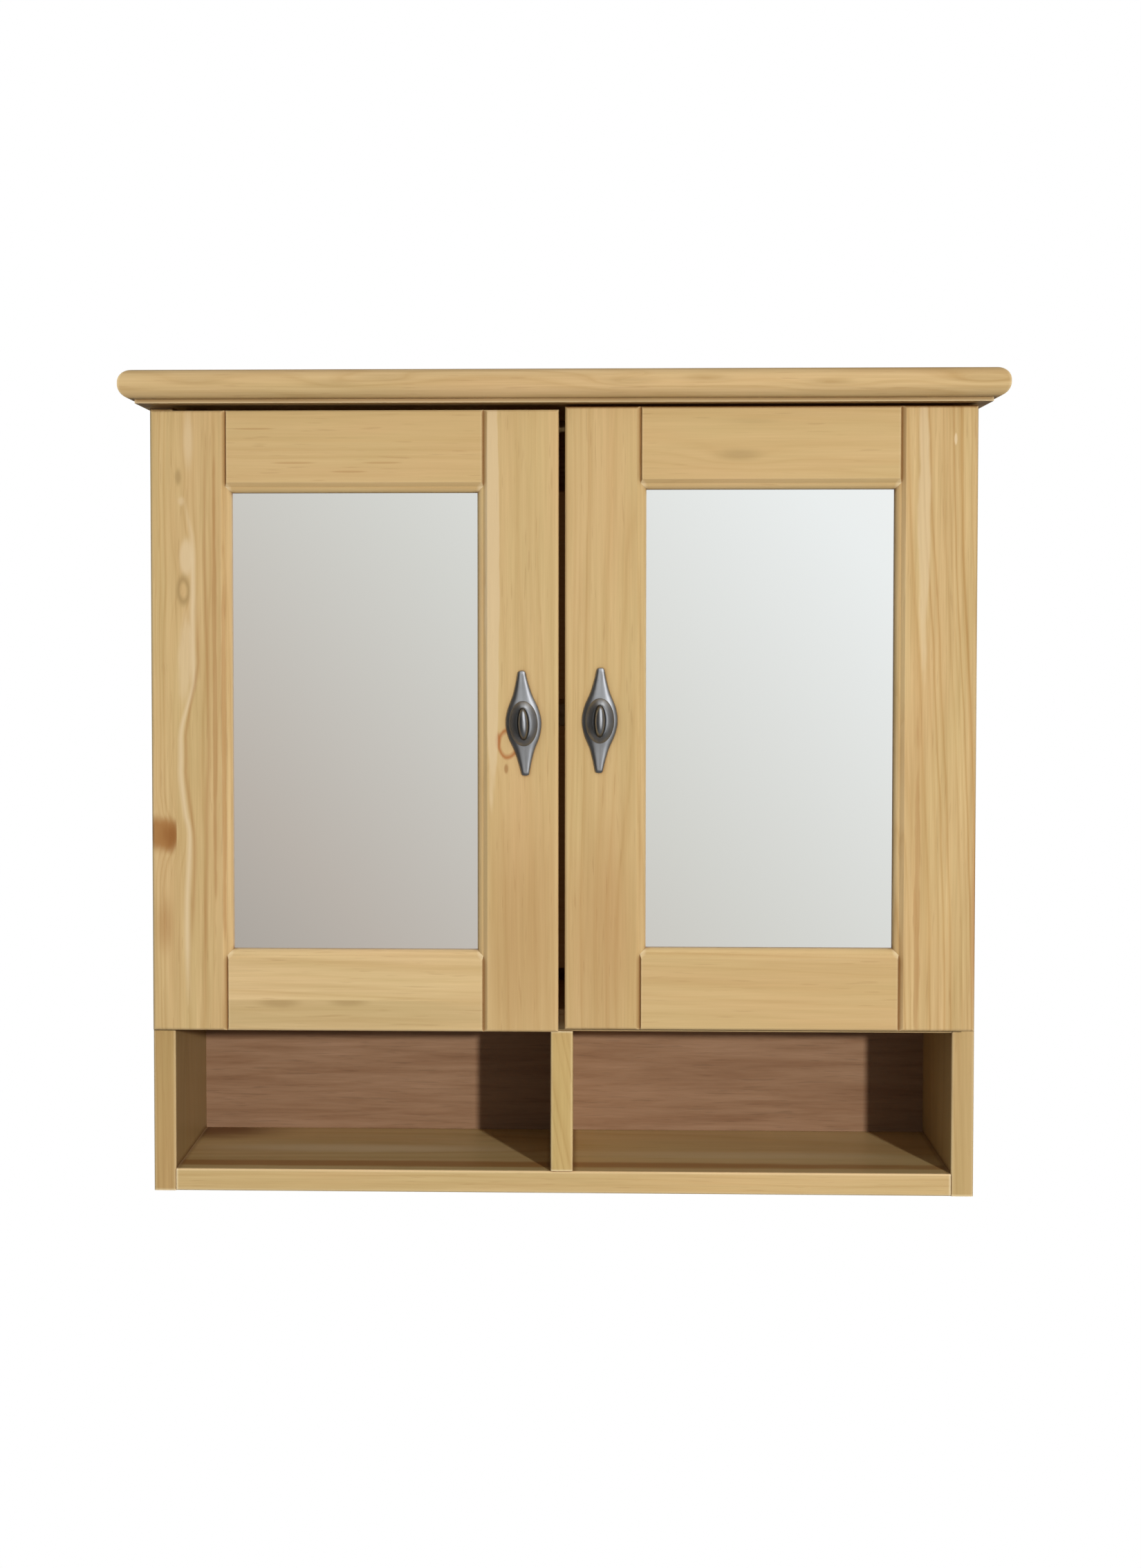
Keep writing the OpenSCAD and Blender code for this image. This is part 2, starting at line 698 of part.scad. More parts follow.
// Doors: x runs from the hinge edge to the meeting edge, y from the front face back

module on_door(side) on_side(side)
    translate([carcass_w / 2 - side_reveal, -carcass_d - door_gap - door_t, door_base(side)])
        mirror([1, 0, 0]) children();

// Section of a frame member: u from the outer edge to the mirror, v from front to back
module frame_section(w) difference() {
    square([w, door_t]);
    translate([w - rebate_w, sight_d]) square([rebate_w + cut, door_t]);
    difference() {
        polygon([[w - mould_w - quirk_w, -quirk_d], [w - mould_w + quirk_w, quirk_d],
            [w - ovolo_r, ovolo_v], [w + cut, ovolo_v], [w + cut, -quirk_d]]);
        translate([w - ovolo_r, ovolo_v]) circle(ovolo_r);
    }
    corner_cut(door_front_r);
    translate([0, door_t]) mirror([0, 1]) corner_cut(door_rear_r);
}

module stile_blank() linear_extrude(door_h) frame_section(stile_w);

// Door-high slab whose top and bottom edges are rounded, to round the stile ends
module end_rounding() translate([-cut, 0, 0]) along_x(door_w + 2 * cut) difference() {
    square([door_t, door_h]);
    for (end = [0, 1]) translate([0, end * door_h]) mirror([0, end]) {
        corner_cut(door_front_r);
        translate([door_t, 0]) mirror([1, 0]) corner_cut(door_rear_r);
    }
}

// The tenon of the bottom rail at the hinge side, grown by some play for its mortise
module tenon(play) translate([stile_w - tenon_l - play, tenon_v - play, tenon_z - play])
    cube([tenon_l + play + (play > 0 ? cut : rebate_w), tenon_t + 2 * play, tenon_h + 2 * play]);

// Draws its children at the bottom and mirrored at the top
module both_ends() for (end = [0, 1]) translate([0, 0, end * door_h]) mirror([0, 0, end]) children();

module stile() difference() {
    intersection() {
        stile_blank();
        end_rounding();
    }
    both_ends() tenon(tenon_play);
}

// The bottom rail: its ends are cut to fit over the stiles' moulding
module rail() {
    difference() {
        translate([stile_flat, 0, 0]) along_x(door_w - 2 * stile_flat) mirror([1, -1]) frame_section(rail_w);
        for (end = [0, 1]) translate([end * door_w, 0, 0]) mirror([end, 0, 0]) {
            stile_blank();
            translate([0, 0, -cut]) linear_extrude(rail_w + 2 * cut)
                polygon([[stile_flat - quirk_w, -quirk_d], [stile_flat + quirk_w, quirk_d],
                    [stile_flat + quirk_w + joint_chamfer * 2, -quirk_d]]);
        }
    }
    for (end = [0, 1]) translate([end * door_w, 0, 0]) mirror([end, 0, 0]) tenon(0);
}

module hinge_stile(side) color(pine) difference() {
    on_door(side) stile();
    on_side(side) on_hinges(side) {
        translate([cup_x, -door_gap + cut, 0]) rotate([90, 0, 0])
            cylinder(h = cup_depth + cup_play + cut, r = cup_r + cup_play);
        cup_screw_places() translate([0, 0, -cut])
            cylinder(h = cup_screw_l - flange_t + screw_tip_gap + cut, r = screw_r + screw_play);
    }
    clip_screw_holes(side);
}

module meeting_stile(side) color(pine) difference() {
    on_door(side) translate([door_w, 0, 0]) mirror([1, 0, 0]) stile();
    on_door(side) translate([door_w - handle_inset, -cut, handle_z]) rotate([-90, 0, 0])
        cylinder(h = door_t + 2 * cut, r = handle_screw_r + hole_play);
    on_side(side) strike_place() translate([0, 0, -cut])
        cylinder(h = disc_screw_l + screw_tip_gap + cut, r = screw_r + screw_play);
    clip_screw_holes(side);
}

module bottom_rail(side) color(pine) difference() {
    on_door(side) rail();
    clip_screw_holes(side);
}

module top_rail(side) color(pine) difference() {
    on_door(side) translate([0, 0, door_h]) mirror([0, 0, 1]) rail();
    clip_screw_holes(side);
}

module pane(thickness) translate([stile_w - rebate_w + mirror_play, 0, rail_w - rebate_w + mirror_play])
    cube([door_w - 2 * (stile_w - rebate_w + mirror_play), thickness,
        door_h - 2 * (rail_w - rebate_w + mirror_play)]);

module door_mirror(side) color(glass_silver) on_door(side) translate([0, sight_d, 0]) pane(mirror_t);

module door_hardboard(side) color(hardboard_brown) on_door(side)
    translate([0, door_t - hardboard_t, 0]) pane(hardboard_t);

// Clips: x = 0 is the hardboard's edge, and the clip points inward over it
module clip_places() {
    for (end = [0, 1]) translate([end * door_w, door_t, 0]) mirror([end, 0, 0])
        for (h = [-0.5, 0.5])
            translate([stile_w - rebate_w + mirror_play, 0, door_h / 2 + h * clip_pitch]) children();
    both_ends() translate([door_w / 2, door_t, rail_w - rebate_w + mirror_play]) rotate([0, -90, 0]) children();
}

module clip() difference() {
    translate([clip_over - clip_l, 0, -clip_w / 2]) cube([clip_l, clip_t, clip_w]);
    translate([clip_screw_x, -cut, 0]) rotate([-90, 0, 0])
        cylinder(h = clip_t + 2 * cut, r = screw_r + screw_play);
}

module door_clips(side) color(steel) on_door(side) clip_places() clip();

module clip_screw_holes(side) on_door(side) clip_places()
    translate([clip_screw_x, clip_t - clip_screw_l - screw_tip_gap, 0]) rotate([-90, 0, 0])
        cylinder(h = clip_screw_l + screw_tip_gap, r = screw_r + screw_play);

module clip_screws(side) color(steel) on_door(side) clip_places()
    translate([clip_screw_x, clip_t + clip_head_h, 0]) rotate([-90, 0, 0])
        screw(clip_head_r, clip_head_h, screw_r, clip_screw_l);

// Steel discs on the doors' rear faces, one in front of each magnet
module strike_place() translate([magnet_x, -carcass_d - door_gap, magnet_z]) rotate([90, 0, 0]) children();

module strike_disc(side) color(steel) on_side(side) strike_place() difference() {
    translate([0, 0, -strike_t]) cylinder(h = strike_t, r = strike_r);
    translate([0, 0, -strike_t - cut]) cylinder(h = strike_t + 2 * cut, r = screw_r + screw_play);
    translate([0, 0, -strike_t - 0.01])
        cylinder(h = strike_t, r1 = disc_head_r + hole_play, r2 = screw_r + screw_play);
}

module strike_screw(side) color(steel) on_side(side) strike_place()
    translate([0, 0, -disc_head_h - 0.05]) mirror([0, 0, 1])
        screw(disc_head_r, disc_head_h, screw_r, disc_screw_l, true);

// Handles: z runs along the backplate, y out of the door

// How the backplate's width falls from its middle, 0, to its tips, 1
plate_form = [[0, 1], [0.1, 0.975], [0.2, 0.897], [0.3, 0.793], [0.4, 0.63], [0.45, 0.543], [0.5, 0.457],
    [0.6, 0.345], [0.7, 0.246], [0.8, 0.155], [0.9, 0.078], [1, 0]];

// Half width of the backplate at a share of its half length
function plate_half(t) = handle_tip_w / 2 + (handle_w - handle_tip_w) / 2 * lookup(abs(t), plate_form);

plate_steps = 12;
plate_ring_n = 4 * plate_steps;

// One outline point: the right flank upwards, then the left flank downwards
function plate_point(i, scale) = let (
    k = i % (2 * plate_steps),
    t = -1 + 2 * k / (2 * plate_steps - 1),
    flank = i < 2 * plate_steps ? 1 : -1)
    [flank * scale * plate_half(t), flank * t * (handle_l / 2 - (1 - scale) * handle_tip_w)];

crown_steps = 6;
crown_flat = 0.52;
function crown_scale(k) = 1 - (1 - crown_flat) * (1 - cos(90 * (k - 1) / crown_steps));
function crown_height(k) = plate_edge_h + (handle_crown - plate_edge_h) * sin(90 * (k - 1) / crown_steps);

// A closed skin over rings of equal point counts, capped at both ends
module ring_skin(rings) {
    n = len(rings[0]);
    m = len(rings);
    polyhedron(
        points = [for (ring = rings) each ring],
        faces = concat(
            [[for (i = [0:n - 1]) i]],
            [for (k = [0:m - 2], i = [0:n - 1]) each [
                [k * n + i, (k + 1) * n + i, (k + 1) * n + (i + 1) % n],
                [k * n + i, (k + 1) * n + (i + 1) % n, k * n + (i + 1) % n]]],
            [[for (i = [n - 1:-1:0]) (m - 1) * n + i]]));
}

function plate_rings() = [for (k = [0:crown_steps + 1]) let (
    scale = k == 0 ? 1 : crown_scale(k),
    h = k == 0 ? 0 : crown_height(k))
    [for (i = [0:plate_ring_n - 1]) let (p = plate_point(i, scale)) [p[0], p[1], h]]];

module on_handle(side) on_door(side)
    translate([door_w - handle_inset, 0, handle_z]) rotate([90, 0, 0])
        rotate([0, 0, side < 0 ? left_handle_lean : right_handle_lean]) children();

module handle_plate(side) color(pewter) on_handle(side) difference() {
    ring_skin(plate_rings());
    translate([0, 0, -cut]) cylinder(h = handle_crown + 2 * cut, r = handle_screw_r + hole_play);
    translate([0, 0, seat_h]) cylinder(h = handle_crown, r = seat_r);
}

// Knob, from its neck over the rim and the hollow ring to the boss:
// half width, half length and height of each ring
function knob_profile() = let (
    a = knob_w / 2,
    b = knob_l / 2,
    hollow_z = rim_h + rim_rise,
    neck = seat_r - knob_play) concat(
    [[neck, neck, seat_h], [neck - neck_taper, neck - neck_taper, seat_h + neck_h]],
    [for (q = [22.5:22.5:90]) [
        neck - neck_taper + (a - seat_r) * (1 - cos(q)),
        neck - neck_taper + (b - seat_r) * (1 - cos(q)),
        seat_h + neck_h + (rim_h - seat_h - neck_h - rim_edge) * sin(q)]],
    [for (q = [0:22.5:90]) [
        a - rim_round * (1 - cos(q)),
        b - rim_round * (1 - cos(q)),
        rim_h + rim_rise * sin(q)]],
    [[boss_w / 2 + hollow_w, boss_l / 2 + hollow_w, hollow_z + hollow_rise]],
    [for (q = [0:20:80]) [
        boss_top_w + (boss_w / 2 - boss_top_w) * cos(q),
        boss_top_l + (boss_l / 2 - boss_top_l) * cos(q),
        hollow_z + hollow_rise + hollow_w / 4 + (knob_h - hollow_z - hollow_rise - hollow_w / 4) * sin(q) / sin(80)]]);

knob_ring_n = 32;
function knob_rings() = [for (ring = knob_profile()) [for (i = [0:knob_ring_n - 1])
    [ring[0] * cos(360 * i / knob_ring_n), ring[1] * sin(360 * i / knob_ring_n), ring[2]]]];

module handle_knob(side) color(pewter) on_handle(side) difference() {
    ring_skin(knob_rings());
    translate([0, 0, seat_h - cut])
        cylinder(h = handle_screw_in_knob + screw_tip_gap + cut, r = handle_screw_r + screw_play);
}

module handle_screw(side) color(steel) on_handle(side)
    translate([0, 0, -door_t - handle_head_h]) mirror([0, 0, 1])
        screw(handle_head_r, handle_head_h, handle_screw_r, door_t + seat_h + handle_screw_in_knob);

side_panel(-1);  // side_panel_left
side_panel(1);  // side_panel_right
bottom_board();
divider();
fixed_shelf();
inner_shelf();
shelf_pins();
cornice_board();
back_panel();
back_panel_pins();
hanging_rail();
carcass_dowels();
hinge_plates(-1);  // hinge_plates_left
hinge_plates(1);  // hinge_plates_right
hinge_plate_screws();
hinge_arms(-1);  // hinge_arms_left
hinge_arms(1);  // hinge_arms_right
hinge_arm_screws();
door_magnets();
hinge_stile(-1);  // left_door_hinge_stile
meeting_stile(-1);  // left_door_meeting_stile
top_rail(-1);  // left_door_top_rail
bottom_rail(-1);  // left_door_bottom_rail
door_mirror(-1);  // left_door_mirror
door_hardboard(-1);  // left_door_hardboard
door_clips(-1);  // left_door_clips
clip_screws(-1);  // left_door_clip_screws
hinge_cups(-1);  // left_hinge_cups
hinge_cup_screws(-1);  // left_hinge_cup_screws
hinge_pins(-1);  // left_hinge_pins
handle_plate(-1);  // left_handle_plate
handle_knob(-1);  // left_handle_knob
handle_screw(-1);  // left_handle_screw
strike_disc(-1);  // left_strike_disc
strike_screw(-1);  // left_strike_screw
hinge_stile(1);  // right_door_hinge_stile
meeting_stile(1);  // right_door_meeting_stile
top_rail(1);  // right_door_top_rail
bottom_rail(1);  // right_door_bottom_rail
door_mirror(1);  // right_door_mirror
door_hardboard(1);  // right_door_hardboard
door_clips(1);  // right_door_clips
clip_screws(1);  // right_door_clip_screws
hinge_cups(1);  // right_hinge_cups
hinge_cup_screws(1);  // right_hinge_cup_screws
hinge_pins(1);  // right_hinge_pins
handle_plate(1);  // right_handle_plate
handle_knob(1);  // right_handle_knob
handle_screw(1);  // right_handle_screw
strike_disc(1);  // right_strike_disc
strike_screw(1);  // right_strike_screw
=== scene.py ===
import math

import bpy
import bmesh
from mathutils import Matrix, Vector


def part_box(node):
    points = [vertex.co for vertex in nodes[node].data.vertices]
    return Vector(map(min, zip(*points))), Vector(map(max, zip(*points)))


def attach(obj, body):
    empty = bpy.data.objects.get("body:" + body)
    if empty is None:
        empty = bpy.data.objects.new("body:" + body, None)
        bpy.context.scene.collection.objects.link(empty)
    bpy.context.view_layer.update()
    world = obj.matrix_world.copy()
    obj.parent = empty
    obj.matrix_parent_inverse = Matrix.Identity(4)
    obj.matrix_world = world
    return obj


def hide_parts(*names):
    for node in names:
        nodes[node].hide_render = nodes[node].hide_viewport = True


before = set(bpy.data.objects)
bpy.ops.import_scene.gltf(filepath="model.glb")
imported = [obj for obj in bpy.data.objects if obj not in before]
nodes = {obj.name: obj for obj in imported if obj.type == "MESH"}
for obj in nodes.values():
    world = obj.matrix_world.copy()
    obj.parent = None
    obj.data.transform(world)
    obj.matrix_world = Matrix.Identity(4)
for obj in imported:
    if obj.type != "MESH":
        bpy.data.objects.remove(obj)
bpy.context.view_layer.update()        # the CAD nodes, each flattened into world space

sides = ("left", "right")


def addObject(name, data):
    added = bpy.data.objects.new(name, data)
    bpy.context.scene.collection.objects.link(added)
    return added


# camera: fitted to the photograph, in metres and radians, with lens and sensor in millimetres

cameraView = {
    "place": (0.0136, -1.8595, 0.4655),
    "pitch": -0.0337,
    "yaw": -0.0291,
    "lens": 49.04,
    "sensor": 36,
    "shift": (0.0343, -0.0602),
    "clip": (0.05, 50),
}


def addCamera(view):
    data = bpy.data.cameras.new("photoCamera")
    data.lens = view["lens"]
    data.sensor_width = view["sensor"]
    data.shift_x, data.shift_y = view["shift"]
    data.clip_start, data.clip_end = view["clip"]
    camera = addObject("photoCamera", data)
    camera.location = view["place"]
    camera.rotation_euler = (math.pi / 2 + view["pitch"], 0, -view["yaw"])
    bpy.context.scene.camera = camera


# helpers for node trees: a value is either plain or another node's socket

def setInputs(tree, node, values):
    for name, value in values.items():
        if isinstance(value, bpy.types.NodeSocket):
            tree.links.new(value, node.inputs[name])
        else:
            node.inputs[name].default_value = value


def addNode(tree, kind, values=(), **settings):
    node = tree.nodes.new(kind)
    for name, value in settings.items():
        setattr(node, name, value)
    setInputs(tree, node, dict(values))
    return node


# a new tree with named sockets, each given with its plain value or with its kind
def newTree(name, kind, inputs, outputs):
    tree = bpy.data.node_groups.new(name, kind)
    for way, sockets in (("INPUT", inputs), ("OUTPUT", outputs)):
        for label, value in sockets.items():
            socketType = "NodeSocket" + (value if isinstance(value, str) else "Float")
            socket = tree.interface.new_socket(label, in_out=way, socket_type=socketType)
            if not isinstance(value, str):
                socket.default_value = value
    return tree, tree.nodes.new("NodeGroupInput").outputs, tree.nodes.new("NodeGroupOutput")


def calc(tree, operation, first, second=0.0, third=0.0, clamp=False):
    return addNode(tree, "ShaderNodeMath", {0: first, 1: second, 2: third}, operation=operation,
                   use_clamp=clamp).outputs[0]


def plus(tree, first, *others):
    for other in others:
        first = calc(tree, "ADD", first, other)
    return first


def times(tree, first, *others, clamp=False):
    for other in others:
        first = calc(tree, "MULTIPLY", first, other, clamp=clamp)
    return first


def minus(tree, first, second, clamp=False):
    return calc(tree, "SUBTRACT", first, second, clamp=clamp)


def over(tree, first, second, clamp=False):
    return calc(tree, "DIVIDE", first, second, clamp=clamp)


def scaled(tree, value, factor, base, clamp=False):
    return calc(tree, "MULTIPLY_ADD", value, factor, base, clamp=clamp)


def centred(tree, value):         # a pattern's value about zero
    return minus(tree, value, 0.5)


def vectorCalc(tree, operation, first, second):
    return addNode(tree, "ShaderNodeVectorMath", {0: first, 1: second}, operation=operation).outputs[0]


def blendColours(tree, factor, first, second, mode="MIX"):
    return addNode(tree, "ShaderNodeMix", {0: factor, 6: first, 7: second}, data_type="RGBA",
                   blend_type=mode).outputs[2]


def tinted(tree, colour, tint):
    return blendColours(tree, 1.0, colour, tint, "MULTIPLY")


def grey(value):
    return (value, value, value, 1)


# a colour given as 0 to 255 on a screen
def linear(*screenColour):
    shares = [value / 255 for value in screenColour]
    return (*(s / 12.92 if s <= 0.04045 else ((s + 0.055) / 1.055) ** 2.4 for s in shares), 1)


def ramp(tree, value, stops, interpolation="LINEAR"):
    node = addNode(tree, "ShaderNodeValToRGB", {0: value})
    node.color_ramp.interpolation = interpolation
    while len(node.color_ramp.elements) < len(stops):
        node.color_ramp.elements.new(0.5)
    for element, (position, colour) in zip(node.color_ramp.elements, stops):
        element.position = position
        element.color = colour if hasattr(colour, "__len__") else grey(colour)
    return node.outputs[0]


def noise(tree, place, scale, detail=2.0, roughness=0.5, seed=0.0, distortion=0.0):
    stretched = vectorCalc(tree, "MULTIPLY", place, scale)
    return addNode(tree, "ShaderNodeTexNoise",
                   {"Vector": stretched, "W": seed, "Scale": 1.0, "Detail": detail, "Roughness": roughness,
                    "Distortion": distortion}, noise_dimensions="4D").outputs[0]


# helpers for materials

def newMaterial(name, colour=grey(0.8), roughness=0.5, metallic=0.0, specular=0.5):
    material = bpy.data.materials.new(name)
    material.use_nodes = True
    tree = material.node_tree
    shader = tree.nodes["Principled BSDF"]
    setInputs(tree, shader, {"Base Color": colour, "Roughness": roughness, "Metallic": metallic,
                             "Specular IOR Level": specular})
    return material, tree, shader


def objectPlace(tree):
    return addNode(tree, "ShaderNodeTexCoord").outputs["Object"]


def splitAxes(tree, vector):
    return addNode(tree, "ShaderNodeSeparateXYZ", {0: vector}).outputs


def addBump(tree, shader, height, strength, distance):
    bump = addNode(tree, "ShaderNodeBump", {"Strength": strength, "Distance": distance, "Height": height})
    setInputs(tree, shader, {"Normal": bump.outputs[0]})


# from a finish's dark tone to its own colour, over the middle of a pattern's range
def toneRamp(tree, pattern, finish, low=0.3, high=0.7):
    return ramp(tree, pattern, [(low, linear(*finish["dark"])), (high, linear(*finish["colour"]))])


def dress(name, material):
    slots = nodes[name].data.materials
    slots.clear()
    slots.append(material)


# pine: growth rings round a pith line, in the board's own space
# its first axis runs along the grain, its second across the board's face and its third through it

pine = {
    # patterns: scale on the three axes, detail, roughness and shift of the seed
    "patterns": {
        "sway": ((2.6, 16, 16), 1.5, 0.5, 0),
        "ripple": ((11, 90, 90), 2, 0.5, 0),
        "drift": ((4, 15, 15), 2.5, 0.55, 0),
        "hue": ((6, 42, 42), 2, 0.5, 40),
        "stripes": ((4.5, 120, 120), 2, 0.55, 40),
        "broad": ((10, 330, 330), 2, 0.6, 0),
        "fine": ((16, 760, 760), 2, 0.55, 40),
        "fibre": ((28, 1300, 1300), 2, 0.6, 0),
        "dashes": ((45, 700, 700), 0, 0.5, 0),
    },
    "rippleShare": 0.16,              # of the sway
    "crowding": (1.7, 0.35),          # how often and how much the rings crowd together
    "luck": (0.9, 0.35),              # range and least strength of a year's late wood
    "lateWood": [(0.0, 0.55), (0.18, 0.12), (0.50, 0.10), (0.74, 0.50), (0.90, 0.95), (1.0, 0.55)],
    "lightness": {"drift": 0.34, "stripes": 0.26, "broad": 0.26, "fine": 0.20},
    "fibreLightness": 0.10,
    "redChange": 0.82,                # red and blue follow the lightness less and more than green
    "blueChange": 1.35,
    "tone": linear(192, 157, 103),
    "toneShare": (1.1, 0.24),         # range and mean
    "hueShare": (2.6, 0.42),
    "warm": (1.03, 0.99, 0.965, 1),
    "cool": (0.99, 1.0, 0.95, 1),
    "dashEdge": [(0.70, 0.0), (0.80, 1.0)],
    "dash": linear(150, 100, 55),
    "dashShare": 0.16,
    "gloss": (0.14, 0.36),
    "specular": 0.35,
    "relief": 0.5,                    # of the fibres and the late wood in the height
    "bump": (0.12, 0.0004),           # strength and distance
}


def makePineGroup(look):
    tree, given, out = newTree("pineGrain", "ShaderNodeTree", {
        "Place": "Vector", "Pith across": 0.0, "Pith depth": 0.05, "Pith tilt": 0.02, "Ring width": 0.004,
        "Sway": 0.004, "Swell": 0.0, "Ring contrast": 0.5, "Figure": 1.0, "Seed": 0.0,
        "Early wood": "Color", "Late wood": "Color",
    }, {"Colour": "Color", "Height": "Float", "Gloss": "Float"})
    place, seed = given["Place"], given["Seed"]
    pattern = {name: noise(tree, place, scale, detail, roughness, plus(tree, seed, shift))
               for name, (scale, detail, roughness, shift) in look["patterns"].items()}
    # rings: distance from the pith, bent a little and counted in years
    axes = splitAxes(tree, place)
    lean = times(tree, axes[0], given["Pith tilt"])
    across = minus(tree, plus(tree, axes[1], lean), given["Pith across"])
    deep = minus(tree, plus(tree, axes[2], lean), given["Pith depth"])
    radius = calc(tree, "SQRT", plus(tree, times(tree, across, across), times(tree, deep, deep)))
    sway = times(tree, centred(tree, pattern["sway"]), given["Sway"])
    ripple = times(tree, centred(tree, pattern["ripple"]), given["Sway"], look["rippleShare"])
    bent = plus(tree, plus(tree, radius, given["Swell"]), plus(tree, sway, ripple))
    rings = over(tree, bent, given["Ring width"])
    often, much = look["crowding"]
    rings = plus(tree, rings, times(tree, calc(tree, "SINE", times(tree, rings, often)), much))
    year = calc(tree, "FLOOR", rings)
    luck = addNode(tree, "ShaderNodeTexWhiteNoise", {"W": plus(tree, year, seed)}, noise_dimensions="1D")
    strength = times(tree, given["Ring contrast"], scaled(tree, luck.outputs[0], *look["luck"]))
    late = ramp(tree, minus(tree, rings, year), look["lateWood"], "EASE")
    lateShare = times(tree, late, strength, clamp=True)
    colour = blendColours(tree, lateShare, given["Early wood"], given["Late wood"])
    # tone and hue that drift along the board
    toneShare = scaled(tree, centred(tree, pattern["drift"]), *look["toneShare"], clamp=True)
    colour = blendColours(tree, toneShare, colour, look["tone"])
    hueShare = scaled(tree, centred(tree, pattern["hue"]), *look["hueShare"], clamp=True)
    cooled, warmed = tinted(tree, colour, look["cool"]), tinted(tree, colour, look["warm"])
    colour = blendColours(tree, hueShare, cooled, warmed)
    # soft stripes, fine fibres and short dark dashes
    lightness = 1.0
    for name, amount in look["lightness"].items():
        lightness = plus(tree, times(tree, centred(tree, pattern[name]), amount, given["Figure"]), lightness)
    fibres = times(tree, centred(tree, pattern["fibre"]), look["fibreLightness"])
    lightness = plus(tree, lightness, fibres)
    change = minus(tree, lightness, 1.0)
    shade = addNode(tree, "ShaderNodeCombineColor", {
        0: scaled(tree, change, look["redChange"], 1.0), 1: lightness,
        2: scaled(tree, change, look["blueChange"], 1.0)}).outputs[0]
    colour = tinted(tree, colour, shade)
    dashes = ramp(tree, pattern["dashes"], look["dashEdge"])
    colour = blendColours(tree, times(tree, dashes, look["dashShare"]), colour, look["dash"])
    height = plus(tree, times(tree, pattern["fibre"], look["relief"]), times(tree, late, look["relief"]))
    setInputs(tree, out, {"Colour": colour, "Height": minus(tree, height, dashes),
                          "Gloss": scaled(tree, pattern["broad"], *look["gloss"])})
    return tree


spotLook = {
    "wander": {"scale": (30, 120, 120), "detail": 2},
    "cutEdge": 0.001,         # metres
    "rimEdge": 0.25,          # this and the next are shares of the spot's size
    "swellReach": 2.6,
    "seedStep": 3.1,
}


# a soft-edged oval spot on a board: 0 outside, 1 in its middle
def makeSpotGroup(look):
    tree, given, out = newTree("woodSpot", "ShaderNodeTree", {
        "Place": "Vector", "Centre": "Vector", "Size": "Vector", "Ragged": 0.2, "Edge": 0.4, "Seed": 0.0,
    }, {"Mask": "Float", "Distance": "Float"})
    wander = noise(tree, given["Place"], seed=given["Seed"], **look["wander"])
    offset = vectorCalc(tree, "SUBTRACT", given["Place"], given["Centre"])
    flat = vectorCalc(tree, "MULTIPLY", vectorCalc(tree, "DIVIDE", offset, given["Size"]), (1, 1, 0))
    distance = addNode(tree, "ShaderNodeVectorMath", {0: flat}, operation="LENGTH").outputs["Value"]
    distance = plus(tree, distance, times(tree, centred(tree, wander), given["Ragged"]))
    mask = over(tree, minus(tree, 1.0, distance), given["Edge"], clamp=True)
    mask = addNode(tree, "ShaderNodeMapRange", {0: mask}, interpolation_type="SMOOTHERSTEP").outputs[0]
    setInputs(tree, out, {"Mask": mask, "Distance": distance})
    return tree


pineGroup = makePineGroup(pine)
spotGroup = makeSpotGroup(spotLook)


# how much of each spot shows, and how far the rings bend round them
def placeSpots(tree, place, across, board):
    masks, swell = [], 0.0
    for number, spot in enumerate(board["spots"]):
        group = addNode(tree, "ShaderNodeGroup", {
            "Place": place, "Centre": (*spot["at"], 0), "Size": (*spot["size"], 1), "Ragged": spot["ragged"],
            "Edge": spot["edge"], "Seed": board["seed"] + number * spotLook["seedStep"]}, node_tree=spotGroup)
        mask, distance = group.outputs["Mask"], group.outputs["Distance"]
        if "upTo" in spot:            # cut straight along the grain
            before = minus(tree, spot["upTo"], across)
            mask = times(tree, mask, over(tree, before, spotLook["cutEdge"], clamp=True))
        if "hollow" in spot:          # only the rim of the oval
            outside = minus(tree, distance, spot["hollow"])
            mask = times(tree, mask, over(tree, outside, spotLook["rimEdge"], clamp=True))
        if "swell" in spot:
            near = minus(tree, 1.0, over(tree, distance, spotLook["swellReach"]), clamp=True)
            swell = plus(tree, swell, times(tree, near, near, spot["swell"]))
        masks.append(mask)
    return masks, swell


veinLook = {
    "wander": 0.006,          # metres
    "wandering": {"scale": (9, 9, 9), "detail": 2},
    "widening": {"scale": (14, 14, 14), "detail": 1},
    "widthRange": 1.4,        # this and the next are shares of the vein's width
    "leastWidth": 0.3,
    "taper": 8.0,             # each end takes an eighth of the length
    "seedStep": 5,
}


# a thin wavy vein through points of (along, across)
def veinMask(tree, place, along, across, line, seed):
    points = line["points"]
    start, end = points[0][0], points[-1][0]
    low, high = min(p[1] for p in points), max(p[1] for p in points)
    stops = [((at - start) / (end - start), (offset - low) / (high - low)) for at, offset in points]
    travelled = over(tree, minus(tree, along, start), end - start)
    middle = scaled(tree, ramp(tree, travelled, stops, "CARDINAL"), high - low, low)
    wander = centred(tree, noise(tree, place, seed=seed, **veinLook["wandering"]))
    middle = scaled(tree, wander, veinLook["wander"], middle)
    apart = calc(tree, "ABSOLUTE", minus(tree, across, middle))
    widening = noise(tree, place, seed=seed + veinLook["seedStep"], **veinLook["widening"])
    width = scaled(tree, widening, line["width"] * veinLook["widthRange"],
                   line["width"] * veinLook["leastWidth"])
    ends = times(tree, times(tree, travelled, veinLook["taper"], clamp=True),
                 times(tree, minus(tree, 1.0, travelled), veinLook["taper"], clamp=True))
    return times(tree, minus(tree, 1.0, over(tree, apart, width), clamp=True), ends)


